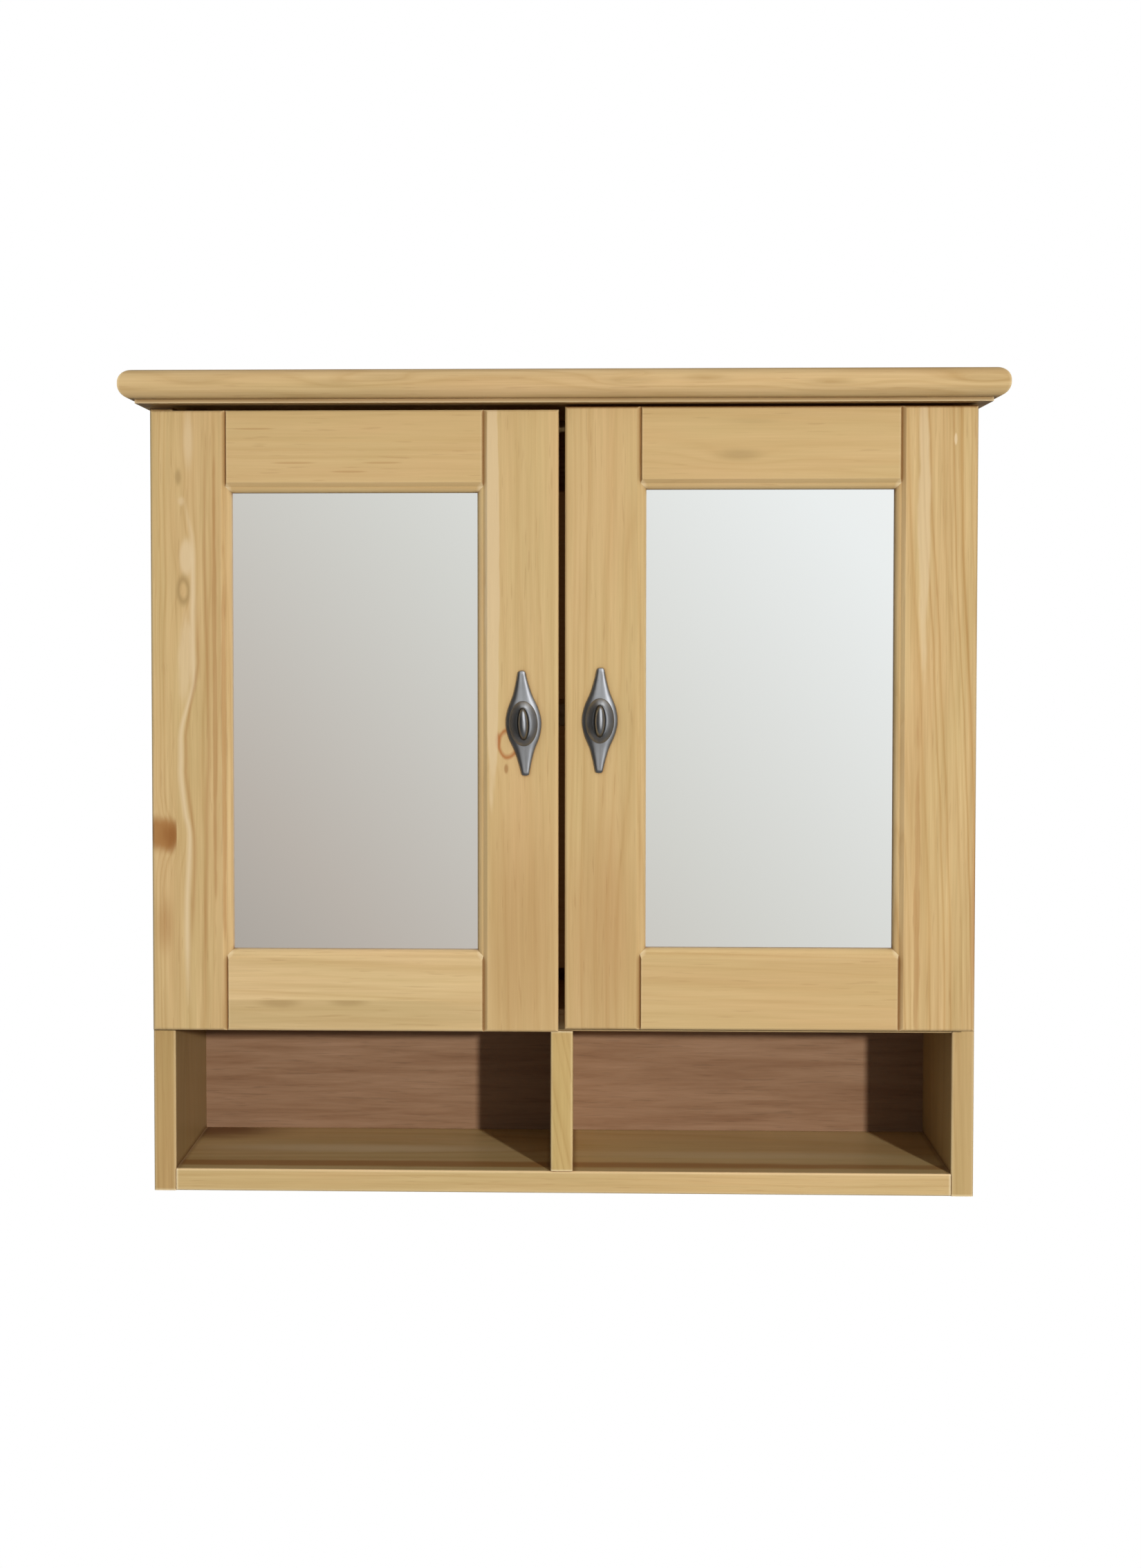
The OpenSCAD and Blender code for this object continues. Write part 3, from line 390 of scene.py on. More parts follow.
# 1 inside a box of object space, else 0
def insideBox(tree, axes, low, high):
    inside = 1.0
    for axis in range(3):
        for limit, test in ((low[axis], "GREATER_THAN"), (high[axis], "LESS_THAN")):
            if limit is not None:
                inside = times(tree, inside, calc(tree, test, axes[axis], limit))
    return inside


# painted highlight along the arrises, and painted shade in the grooves and hollows
edgeHighlightAndHollowShade = {
    "arris": linear(246, 226, 184),
    "edgeHighlightReach": 0.0022,
    "groove": linear(156, 118, 72),
    "grooveReach": 0.0048,
    "samples": 6,
}


def cornerShare(tree, reach, strength, **settings):
    free = addNode(tree, "ShaderNodeAmbientOcclusion", {"Distance": reach}, samples=edgeHighlightAndHollowShade["samples"],
                   **settings)
    return times(tree, minus(tree, 1.0, free.outputs["AO"]), strength, clamp=True)


# paints the highlight on convex edges and the shade in hollows, both found by occlusion
def weathered(tree, colour, board):
    arris = cornerShare(tree, edgeHighlightAndHollowShade["edgeHighlightReach"], board["arrises"], inside=True, only_local=True)
    groove = cornerShare(tree, edgeHighlightAndHollowShade["grooveReach"], board["grooves"])
    colour = blendColours(tree, arris, colour, edgeHighlightAndHollowShade["arris"])
    return blendColours(tree, groove, colour, tinted(tree, colour, edgeHighlightAndHollowShade["groove"]))


grainAxes = {             # which of x, y and z runs along the grain, across the face and through the board
    "upright": (2, 0, 1),
    "lying": (0, 2, 1),
    "side": (2, 1, 0),
    "shelf": (0, 1, 2),
}
spotColours = {
    "pale": linear(226, 200, 158),
    "brown": linear(168, 118, 66),
    "red": linear(176, 112, 62),
    "knot": linear(150, 98, 50),
    "dark": linear(120, 78, 40),
    "grey": linear(170, 140, 92),
}


def pineMaterial(name, board):
    material, tree, shader = newMaterial(name, specular=pine["specular"])
    axes = splitAxes(tree, objectPlace(tree))
    along, across, through = (axes[i] for i in grainAxes[board["lie"]])
    place = addNode(tree, "ShaderNodeCombineXYZ", {0: along, 1: across, 2: through}).outputs[0]
    masks, swell = placeSpots(tree, place, across, board)
    grain = addNode(tree, "ShaderNodeGroup", {
        "Place": place, "Pith across": board["pith"][0], "Pith depth": board["pith"][1],
        "Pith tilt": board["tilt"], "Ring width": board["ring"], "Sway": board["sway"], "Swell": swell,
        "Ring contrast": board["contrast"], "Figure": board["figure"], "Seed": board["seed"],
        "Early wood": linear(*board["early"]), "Late wood": linear(*board["late"]),
    }, node_tree=pineGroup).outputs
    colour = grain["Colour"]
    for spot, mask in zip(board["spots"], masks):
        share = times(tree, mask, spot["strength"])
        colour = blendColours(tree, share, colour, spotColours[spot["colour"]])
    for line in board["veins"]:
        mask = veinMask(tree, place, along, across, line, board["seed"])
        share = times(tree, mask, line["strength"])
        colour = blendColours(tree, share, colour, spotColours[line["colour"]])
    # painted shade and painted highlight: each box tints the colour inside it
    for low, high, tint in board["shaded"]:
        inside = insideBox(tree, axes, low, high)
        colour = blendColours(tree, inside, colour, tinted(tree, colour, (*tint, 1)))
    setInputs(tree, shader, {"Base Color": weathered(tree, colour, board), "Roughness": grain["Gloss"]})
    addBump(tree, shader, grain["Height"], *pine["bump"])
    return material


# boards: pith across the face and through it from the origin, ring width and sway in metres
# boxes of painted shade and painted highlight run from low to high, open where they say None, each with a
# tint: below 1 it paints shade, above 1 a highlight

plainBoard = {
    "lie": "upright", "ring": 0.0042, "sway": 0.006, "tilt": 0.02, "contrast": 0.5, "figure": 1.0,
    # the last two shares on the next line scale the painted highlight on the arrises and the painted shade in
    # the hollows
    "early": (214, 184, 134), "late": (184, 143, 88), "arrises": 0.6, "grooves": 1.5,
    "spots": (), "veins": (), "shaded": (),
}


def plank(seed, pith, **more):
    return {**plainBoard, "seed": seed, "pith": pith, **more}


# a spot: its centre along and across the grain, half its length and width, colour and strength
def oval(along, across, length, width, colour, strength, edge=0.5, ragged=0.25, **more):
    return {"at": (along, across), "size": (length, width), "colour": colour, "strength": strength,
            "edge": edge, "ragged": ragged, **more}


def vein(width, colour, strength, points):
    return {"width": width, "colour": colour, "strength": strength, "points": points}


corniceFigure = [(-0.286, 0.650), (-0.178, 0.648), (-0.140, 0.652), (0.051, 0.649), (0.112, 0.651),
                 (0.207, 0.648), (0.327, 0.650)]
boards = {
    "left_door_hinge_stile": plank(
        1.3, (-0.262, -0.200), ring=0.0044, sway=0.020, tilt=0.012, contrast=0.42, figure=1.3,
        spots=[
            oval(0.607, -0.2965, 0.036, 0.0060, "pale", 0.55, edge=0.9),
            oval(0.577, -0.3045, 0.010, 0.0040, "grey", 0.70, edge=0.9, swell=0.004),
            oval(0.558, -0.3022, 0.006, 0.0040, "pale", 0.50, edge=0.9),
            oval(0.513, -0.2983, 0.020, 0.0075, "pale", 0.75, edge=0.6, swell=0.006),
            oval(0.487, -0.3008, 0.017, 0.0080, "grey", 0.80, edge=0.6, swell=0.006, hollow=0.25),
            oval(0.432, -0.2995, 0.045, 0.0080, "pale", 0.55, edge=0.6, ragged=0.8),
            oval(0.2935, -0.3195, 0.019, 0.0190, "brown", 0.95, edge=0.7, ragged=0.7, upTo=-0.3067),
            oval(0.2920, -0.3100, 0.018, 0.0120, "knot", 0.90, edge=0.9, ragged=0.9, upTo=-0.3067,
                 swell=0.010),
            oval(0.2195, -0.3170, 0.036, 0.0110, "brown", 0.45, edge=1.0),
            oval(0.42, -0.2760, 0.24, 0.0024, "brown", 0.45, ragged=1.0),
            oval(0.36, -0.2690, 0.22, 0.0022, "brown", 0.45, ragged=1.0),
        ],
        veins=[
            vein(0.0030, "pale", 0.90, [
                (0.150, -0.2970), (0.228, -0.2990), (0.292, -0.2970), (0.306, -0.2995), (0.343, -0.3040),
                (0.3795, -0.3025), (0.409, -0.2940), (0.430, -0.2930), (0.530, -0.2935), (0.563, -0.3000)]),
            vein(0.0022, "brown", 0.50, [
                (0.200, -0.2950), (0.292, -0.2935), (0.343, -0.3000), (0.3795, -0.2985), (0.430, -0.2890),
                (0.480, -0.2900)]),
            vein(0.0022, "brown", 0.45, [
                (0.150, -0.2850), (0.30, -0.2830), (0.42, -0.2815), (0.52, -0.2840), (0.62, -0.2820)]),
        ]),
    "left_door_meeting_stile": plank(
        4.7, (-0.085, -0.240), ring=0.0060, sway=0.012, contrast=0.20, figure=0.8,
        spots=[
            oval(0.3655, -0.0425, 0.0135, 0.0095, "red", 0.95, edge=0.30, ragged=0.35, swell=0.006,
                 hollow=0.50),
            oval(0.3680, -0.0505, 0.0095, 0.0034, "red", 0.80, edge=0.8),
            oval(0.21, -0.0330, 0.16, 0.050, "brown", 0.34, edge=1.0),
            oval(0.3455, -0.0440, 0.0055, 0.0024, "knot", 0.60, edge=0.7),
            oval(0.50, -0.0550, 0.20, 0.0065, "pale", 0.65, edge=0.25, ragged=0.5),
        ]),
    "left_door_top_rail": plank(
        7.2, (0.66, -0.230), lie="lying", ring=0.0080, sway=0.014, contrast=0.22, figure=0.55,
        spots=[
            oval(-0.244, 0.615, 0.020, 0.0010, "brown", 0.35),
            oval(-0.212, 0.588, 0.022, 0.0011, "brown", 0.35),
            oval(-0.169, 0.581, 0.018, 0.0010, "brown", 0.35),
            oval(-0.142, 0.588, 0.020, 0.0010, "brown", 0.35),
        ]),
    "left_door_bottom_rail": plank(
        9.9, (0.10, -0.225), lie="lying", ring=0.0080, sway=0.016, contrast=0.28, figure=0.9,
        early=(225, 197, 149), late=(194, 157, 102),
        spots=[
            oval(-0.2254, 0.158, 0.026, 0.007, "grey", 0.60, edge=0.9, upTo=0.1605),
            oval(-0.1703, 0.159, 0.024, 0.006, "grey", 0.60, edge=0.9, upTo=0.1605),
            oval(-0.19, 0.150, 0.20, 0.018, "grey", 0.30, upTo=0.1605),
        ]),
    "right_door_meeting_stile": plank(
        13.1, (0.075, -0.235), sway=0.009, contrast=0.34, figure=0.9,
        spots=[oval(0.21, 0.0330, 0.16, 0.050, "brown", 0.32, edge=1.0)]),
    "right_door_hinge_stile": plank(
        17.9, (0.235, -0.215), ring=0.0046, sway=0.016, contrast=0.75, figure=1.6,
        spots=[
            oval(0.55, 0.2850, 0.16, 0.0060, "pale", 0.60, ragged=0.8),
            oval(0.6057, 0.3092, 0.006, 0.0016, "pale", 0.90, ragged=0.2),
            oval(0.25, 0.2810, 0.16, 0.0030, "brown", 0.40, ragged=1.2),
            oval(0.22, 0.3260, 0.10, 0.0040, "red", 0.45, edge=0.9),
        ]),
    "right_door_top_rail": plank(
        21.4, (0.55, -0.215), lie="lying", ring=0.0090, sway=0.016, contrast=0.24, figure=0.55,
        spots=[
            oval(0.1399, 0.594, 0.030, 0.008, "grey", 0.55, edge=1.0, swell=0.012),
            oval(0.151, 0.620, 0.034, 0.004, "grey", 0.25, edge=1.0),
        ]),
    "right_door_bottom_rail": plank(
        24.6, (0.09, -0.220), lie="lying", ring=0.0080, sway=0.016, contrast=0.34, figure=0.65),
    "cornice_board": plank(
        28.3, (0.600, -0.215), lie="lying", ring=0.0085, sway=0.030, early=(220, 189, 140),
        late=(186, 147, 92), arrises=0.9, grooves=0.3,
        spots=[oval(x, z, 0.034, 0.0050, "grey", 0.25, edge=0.9, swell=0.012) for x, z in corniceFigure],
        # painted shade on the fillet under the nose
        shaded=[((None, None, None), (None, -0.150, 0.6371), (0.66, 0.62, 0.58))]),
    "side_panel_left": plank(
        33.1, (-0.09, -0.42), lie="side", ring=0.0060, sway=0.014, early=(190, 158, 108), late=(164, 128, 80),
        # painted shade: the inner face in the open compartment is tinted darker
        arrises=1.4, shaded=[((-0.3135, -0.1450, None), (None, None, 0.14), (0.45, 0.43, 0.415))]),
    "side_panel_right": plank(
        36.8, (-0.07, 0.43), lie="side", ring=0.0062, sway=0.014, early=(196, 167, 118), late=(168, 135, 86),
        # painted shade: the inner face in the open compartment is tinted darker
        arrises=1.4, shaded=[((None, -0.1450, None), (0.3135, None, 0.14), (0.70, 0.68, 0.60))]),
    "bottom_board": plank(
        41.2, (-0.06, -0.10), lie="shelf", ring=0.0064, sway=0.014, arrises=1.6,
        spots=[
            # painted shade: the dark spot in the back-left corner of the floor
            oval(-0.31, -0.010, 0.10, 0.055, "dark", 1.00, edge=0.9),
            oval(-0.18, -0.075, 0.19, 0.020, "pale", 0.90, edge=0.9),
            oval(-0.16, -0.125, 0.90, 0.014, "brown", 0.90, edge=0.7),
            oval(0.14, -0.090, 0.22, 0.018, "pale", 0.60, edge=0.9),
        ],
        shaded=[
            # painted shade on the floor of the open compartments
            ((None, -0.1440, 0.0178), (None, None, None), (0.84, 0.87, 0.86)),
            # painted highlight along the top edge of the front face
            ((None, None, 0.0168), (None, -0.1448, None), (1.22, 1.20, 1.25)),
        ]),
    "fixed_shelf": plank(43.9, (-0.08, 0.03), lie="shelf", ring=0.0060, sway=0.014),
    "inner_shelf": plank(46.4, (-0.05, 0.29), lie="shelf", ring=0.0060, sway=0.014),
    "divider": plank(
        49.7, (-0.12, 0.03), lie="side", ring=0.0048, sway=0.010, tilt=0.12, early=(206, 178, 120),
        late=(170, 134, 76), arrises=1.4),
    "hanging_rail": plank(52.5, (0.53, 0.02), lie="lying", ring=0.0050, sway=0.010),
}
for name, board in boards.items():
    dress(name, pineMaterial("pine_" + name, board))
dress("carcass_dowels", pineMaterial("pine_dowels", plank(61.0, (0.3, 0.1), lie="lying")))
print("pine boards finished:", len(boards))


# plywood back

plywoodFinish = {
    "dark": (128, 95, 70), "middle": (140, 108, 82), "light": (150, 118, 92),
    "stops": {"dark": 0.32, "middle": 0.5, "light": 0.68},
    "figure": {"scale": (9, 130, 130), "detail": 4, "roughness": 0.65, "seed": 2.0, "distortion": 0.4},
    "pores": {"scale": (32, 900, 900), "detail": 2, "roughness": 0.6, "seed": 5.0},
    "poreShare": 0.18,
    "dashes": {"scale": (42, 850, 850), "detail": 1, "seed": 7.5},
    "dashEdge": [(0.60, 0.0), (0.70, 1.0)],
    "dashShare": 0.16,
    "roughness": 0.5,
    "specular": 0.3,
    "bump": (0.15, 0.0003),
    # painted light: the back panel glows a faint brown behind the doors, which shows in the gap between them
    "glow": {"colour": (0.95, 0.38, 0.11, 1), "strength": 0.026, "above": 0.16, "before": -0.002},
}


def plywoodMaterial(finish):
    material, tree, shader = newMaterial("plywood", linear(*finish["middle"]), finish["roughness"],
                                         specular=finish["specular"])
    coords = objectPlace(tree)
    tones = [(stop, linear(*finish[tone])) for tone, stop in finish["stops"].items()]
    colour = ramp(tree, noise(tree, coords, **finish["figure"]), tones)
    pores = noise(tree, coords, **finish["pores"])
    dashes = ramp(tree, noise(tree, coords, **finish["dashes"]), finish["dashEdge"])
    light = minus(tree, scaled(tree, centred(tree, pores), finish["poreShare"], 1.0),
                  times(tree, dashes, finish["dashShare"]))
    shade = addNode(tree, "ShaderNodeCombineColor", {0: light, 1: light, 2: light}).outputs[0]
    axes, glow = splitAxes(tree, coords), finish["glow"]
    # painted light: the front face above the shelf glows
    behindDoors = times(tree, calc(tree, "GREATER_THAN", axes[2], glow["above"]),
                        calc(tree, "LESS_THAN", axes[1], glow["before"]))
    setInputs(tree, shader, {
        "Base Color": tinted(tree, colour, shade), "Emission Color": glow["colour"],
        "Emission Strength": times(tree, behindDoors, glow["strength"])})
    addBump(tree, shader, pores, *finish["bump"])
    return material


dress("back_panel", plywoodMaterial(plywoodFinish))


# hardboard behind the mirrors

hardboardFinish = {
    "colour": (128, 96, 66), "dark": (96, 70, 46),
    "fibres": {"scale": (420, 420, 420), "detail": 5, "roughness": 0.7},
    "roughness": 0.75,
    "specular": 0.2,
    "bump": (0.25, 0.0003),
}


def hardboardMaterial(finish):
    material, tree, shader = newMaterial("hardboard", linear(*finish["colour"]), finish["roughness"],
                                         specular=finish["specular"])
    fibres = noise(tree, objectPlace(tree), **finish["fibres"])
    setInputs(tree, shader, {"Base Color": toneRamp(tree, fibres, finish)})
    addBump(tree, shader, fibres, *finish["bump"])
    return material


# metals: a fine grain in the gloss, and clouds of a darker tone

metalPattern = {"detail": 3, "roughness": 0.6}
cloud = {"scale": (60, 60, 60), "seed": 3.0, **metalPattern}
metals = {
    "pewter": {"colour": (176, 178, 182), "dark": (158, 160, 164), "roughness": 0.34, "uneven": 0.06,
               "grain": (380, 380, 380), "bump": (0.03, 0.0002), "patina": linear(74, 76, 80)},
    "nickelPlate": {"colour": (206, 203, 196), "dark": (190, 187, 180), "roughness": 0.26, "uneven": 0.10,
                    "grain": (300, 300, 300), "bump": (0.04, 0.0002)},
    "zincPlate": {"colour": (196, 198, 200), "dark": (172, 174, 176), "roughness": 0.34, "uneven": 0.14,
                  "grain": (700, 700, 700), "bump": (0.06, 0.0002)},
}


def metalMaterial(name, finish):
    material, tree, shader = newMaterial(name, linear(*finish["colour"]), finish["roughness"], metallic=1.0)
    coords = objectPlace(tree)
    grain = noise(tree, coords, finish["grain"], **metalPattern)
    tone = toneRamp(tree, noise(tree, coords, **cloud), finish)
    if "patina" in finish:
        worn = addNode(tree, "ShaderNodeAttribute", attribute_name="patina").outputs["Fac"]
        tone = blendColours(tree, worn, tone, finish["patina"])
    rough = scaled(tree, centred(tree, grain), finish["uneven"], finish["roughness"])
    setInputs(tree, shader, {"Base Color": tone, "Roughness": rough})
    addBump(tree, shader, grain, *finish["bump"])
    return material


mirrorFinish = {
    "colour": (0.93, 0.935, 0.93, 1), "roughness": 0.012,
    "film": {"scale": (14, 14, 9), "detail": 3, "roughness": 0.6},
    "filmRoughness": 0.02,
    "cleanRoughness": 0.004,
}


def mirrorMaterial(finish):
    material, tree, shader = newMaterial("silveredGlass", finish["colour"], finish["roughness"], metallic=1.0)
    film = noise(tree, objectPlace(tree), **finish["film"])
    rough = scaled(tree, film, finish["filmRoughness"], finish["cleanRoughness"])
    setInputs(tree, shader, {"Roughness": rough})
    return material


pewter, nickel, zinc = (metalMaterial(name, finish) for name, finish in metals.items())
finishes = [              # {} stands for left and for right
    (mirrorMaterial(mirrorFinish), ["{}_door_mirror"]),
    (hardboardMaterial(hardboardFinish), ["{}_door_hardboard"]),
    (pewter, ["{}_handle_plate", "{}_handle_knob"]),
    (nickel, ["hinge_plates_{}", "hinge_arms_{}", "{}_hinge_cups"]),
    (zinc, ["hinge_plate_screws", "hinge_arm_screws", "door_magnets", "shelf_pins", "back_panel_pins",
            "{}_door_clips", "{}_door_clip_screws", "{}_hinge_cup_screws", "{}_hinge_pins",
            "{}_handle_screw", "{}_strike_disc", "{}_strike_screw"]),
]
for material, names in finishes:
    for side in sides:
        for name in names:
            dress(name.format(side), material)
print("metals and mirrors finished")


# pieces made here: shaped, dressed and carried by a body

def addPiece(mesh, body, replaced, material, levels=0):
    piece = addObject(mesh.name, mesh)
    mesh.materials.clear()
    mesh.materials.append(material)
    if levels:
        finer = piece.modifiers.new("smoother", "SUBSURF")
        finer.levels = finer.render_levels = levels
    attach(piece, body)
    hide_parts(*replaced)


# rings of points skinned into a closed mesh, whose last ring is closed by one face or by quads across it
def skinRings(name, rings, quadsAcross=False, patina=None):
    mesh = bpy.data.meshes.new(name)
    build = bmesh.new()
    made = [[build.verts.new(point) for point in ring] for ring in rings]
    first, last, count = made[0], made[-1], len(made[0])
    for lower, upper in zip(made, made[1:]):
        for i in range(count):
            j = (i + 1) % count
            build.faces.new((lower[i], lower[j], upper[j], upper[i]))
    build.faces.new(first[::-1])
    if quadsAcross:
        for i in range(count // 2 - 1):
            build.faces.new((last[i], last[i + 1], last[count - 2 - i], last[count - 1 - i]))
    else:
        build.faces.new(last)
    bmesh.ops.recalc_face_normals(build, faces=build.faces)
    build.to_mesh(mesh)
    build.free()
    mesh.shade_smooth()
    if patina:                # darkness by ring
        worn = mesh.attributes.new("patina", "FLOAT", "POINT")
        for i in range(len(mesh.vertices)):
            worn.data[i].value = patina.get(i // count, 0.0)
    return mesh


# handles: a backplate with a flat middle and rounded flanks

backplate = {
    "length": 0.084, "width": 0.0286, "tip": 0.0054, "crown": 0.0036, "edge": 0.0009, "flat": 0.50,
    # share of the half length, and there the share of the way from tip to full width
    "form": [(0, 1), (0.1, 0.975), (0.2, 0.897), (0.3, 0.793), (0.4, 0.63), (0.45, 0.543), (0.5, 0.457),
             (0.6, 0.345), (0.7, 0.246), (0.8, 0.155), (0.9, 0.078), (1, 0)],
    "softening": 0.04,                # of the half length, either way
    "flankPoints": 33,
    "tipRise": 0.3,                   # the tips' share of the middle's rise
    "tipInset": 0.9,                  # how far the tips draw in, as a share of their width
    "foot": [(1.0, 0.0), (1.0, 0.6), (0.985, 1.0)],                   # scale and share of the edge
    "flankShares": (0.2, 0.4, 0.6, 0.8, 0.95),
    "top": [(0.47, 0.0001), (0.25, 0.00015), (0.02, 0.00015)],        # scale and height over the crown
}


def formAt(form, share):
    for (start, first), (end, second) in zip(form, form[1:]):
        if share <= end:
            return first + (second - first) * (share - start) / (end - start)
    return form[-1][1]


def plateRings(sizes):
    flat, edge, crown = sizes["flat"], sizes["edge"], sizes["crown"]
    halfLength, halfWidth, halfTip = sizes["length"] / 2, sizes["width"] / 2, sizes["tip"] / 2
    steps = (-sizes["softening"], 0, sizes["softening"])
    flank = []
    for k in range(sizes["flankPoints"]):
        share = -1 + 2 * k / (sizes["flankPoints"] - 1)
        near = sum(formAt(sizes["form"], min(1, abs(share + step))) for step in steps) / len(steps)
        flank.append((halfTip + (halfWidth - halfTip) * near, share * halfLength))
    outline = flank + [(-x, -y) for x, y in flank]
    rises = [sizes["tipRise"] + (1 - sizes["tipRise"]) * abs(x) / halfWidth for x, y in outline]
    levels = [(scale, share * edge) for scale, share in sizes["foot"]]
    levels += [(1 - (1 - flat) * share, edge + (crown - edge) * (1 - (1 - share) ** 2))
               for share in sizes["flankShares"]]
    levels += [(scale, crown + raised) for scale, raised in sizes["top"]]
    rings = []
    for scale, height in levels:
        shorten = (1 - scale) * sizes["tip"] * sizes["tipInset"] / halfLength
        above = max(0, height - edge)
        rings.append([(x * scale, y * (1 - shorten), height - above * (1 - rise))
                      for (x, y), rise in zip(outline, rises)])
    return rings


# an oval knob: neck, rim, dome and a boss with a short ridge

knob = {
    "width": 0.0228, "length": 0.036, "height": 0.0160,
    "neck": [(0.0056, 0.0056, 0.0030), (0.0052, 0.0056, 0.0044), (0.0075, 0.0110, 0.0047)],
    "rim": [(-0.0010, 0.0048), (-0.0001, 0.0050)],                    # outwards, and height
    "domeFoot": 0.0052, "domeWidth": 0.0056, "domeRise": 1.10, "domeBend": 0.29,
    "domeShares": (0, 0.10, 0.30, 0.52, 0.76, 0.97),
    "bossWidth": 0.0086, "bossLength": 0.0245,
    "bossFoot": [(0.0010, 0.0097), (0.0004, 0.0098), (0, 0.0103), (-0.0003, 0.0111)],
    "bossInset": 0.0002, "bossDegrees": (24, 40, 56, 72, 86),
    "ridge": (0.0002, 0.0015),        # half its width and length
    "points": 64,
    "patina": {3: 0.5, 4: 0.7, 5: 0.5, 6: 0.15, 10: 0.35, 11: 0.75, 12: 0.9, 13: 0.9, 14: 0.8, 15: 0.45},
}


def knobRings(sizes):
    a, b = sizes["width"] / 2, sizes["length"] / 2
    bossA, bossB = sizes["bossWidth"] / 2, sizes["bossLength"] / 2
    ridgeA, ridgeB = sizes["ridge"]
    ovals = list(sizes["neck"])       # half width, half length and height
    ovals += [(a + outwards, b + outwards, height) for outwards, height in sizes["rim"]]
    for share in sizes["domeShares"]:
        inwards = sizes["domeWidth"] * share
        rise = inwards * (sizes["domeRise"] - sizes["domeBend"] * share)
        ovals.append((a - inwards, b - inwards, sizes["domeFoot"] + rise))
    ovals += [(bossA + outwards, bossB + outwards, height) for outwards, height in sizes["bossFoot"]]
    foot, inset = sizes["bossFoot"][-1][1], sizes["bossInset"]
    for angle in map(math.radians, sizes["bossDegrees"]):
        ovals.append((ridgeA + (bossA - inset - ridgeA) * math.cos(angle),
                      ridgeB + (bossB - inset - ridgeB) * math.cos(angle),
                      foot + (sizes["height"] - foot) * math.sin(angle)))
    turns = [2 * math.pi * i / sizes["points"] for i in range(sizes["points"])]
    return [[(x * math.cos(t), y * math.sin(t), h) for t in turns] for x, y, h in ovals]


handleLean = {"left": 2.2, "right": -0.9}      # degrees, anticlockwise seen from the front


def placeHandle(mesh, side):
    low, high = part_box(side + "_handle_plate")
    centre = Vector(((low[0] + high[0]) / 2, high[1], (low[2] + high[2]) / 2))
    upright = Matrix.Rotation(math.pi / 2, 4, "X")
    lean = Matrix.Rotation(-math.radians(handleLean[side]), 4, "Y")
    mesh.transform(Matrix.Translation(centre) @ lean @ upright)
    return mesh


for side in sides:
    plateMesh = placeHandle(skinRings(side + "HandlePlate", plateRings(backplate), quadsAcross=True), side)
    addPiece(plateMesh, side + "_door", [side + "_handle_plate"], pewter, levels=1)
    knobMesh = placeHandle(skinRings(side + "HandleKnob", knobRings(knob), patina=knob["patina"]), side)
    addPiece(knobMesh, side + "_door", [side + "_handle_knob"], pewter, levels=1)
print("handles finished")


# helpers for geometry nodes

def newGeometryTree(name, sizes):
    inputs = {"Geometry": "Geometry", **sizes, "Material": "Material"}
    return newTree(name, "GeometryNodeTree", inputs, {"Geometry": "Geometry"})


def endTree(tree, out, geometry, material):
    whole = addNode(tree, "GeometryNodeRealizeInstances", {0: geometry}).outputs[0]
    dressed = addNode(tree, "GeometryNodeSetMaterial", {"Geometry": whole, "Material": material})
    setInputs(tree, out, {"Geometry": dressed.outputs[0]})


def choose(tree, test, no, yes, kind="FLOAT"):
    return addNode(tree, "GeometryNodeSwitch", {0: test, 1: no, 2: yes}, input_type=kind).outputs[0]


def combine(tree, x=0.0, y=0.0, z=0.0):
    return addNode(tree, "ShaderNodeCombineXYZ", {0: x, 1: y, 2: z}).outputs[0]


def bakeTree(name, mesh, tree, values, material):
    maker = addObject(name, mesh)
    modifier = maker.modifiers.new("maker", "NODES")
    modifier.node_group = tree
    known = {item.name: item.identifier for item in tree.interface.items_tree if item.in_out == "INPUT"}
    for label, value in values.items():
        modifier[known[label]] = value
    modifier[known["Material"]] = material
    depsgraph = bpy.context.evaluated_depsgraph_get()
    made = bpy.data.meshes.new_from_object(maker.evaluated_get(depsgraph), depsgraph=depsgraph)
    bpy.data.objects.remove(maker)
    made.name = name
    return made


def shadeByAngle(mesh, degrees):
    mesh.shade_smooth()
    mesh.set_sharp_from_angle(angle=math.radians(degrees))


# cornice board: its profile carried round three sides of the cabinet, mitred at both corners

cornice = {
    "Half width": 0.331, "Depth": 0.146, "Bottom": 0.634, "Side overhang": 0.0165, "Front overhang": 0.047,
    "Thickness": 0.023, "Edge radius": 0.0105, "Fillet height": 0.003, "Fillet back": 0.0115, "Inner": 0.060,
}
corniceSteps = 14                   # facets in each rounded edge
corniceRows = 2 * corniceSteps + 6
corniceCorners = 4                  # rear left, front left, front right and rear right
corniceCrease = 30                  # degrees from which an edge stays sharp


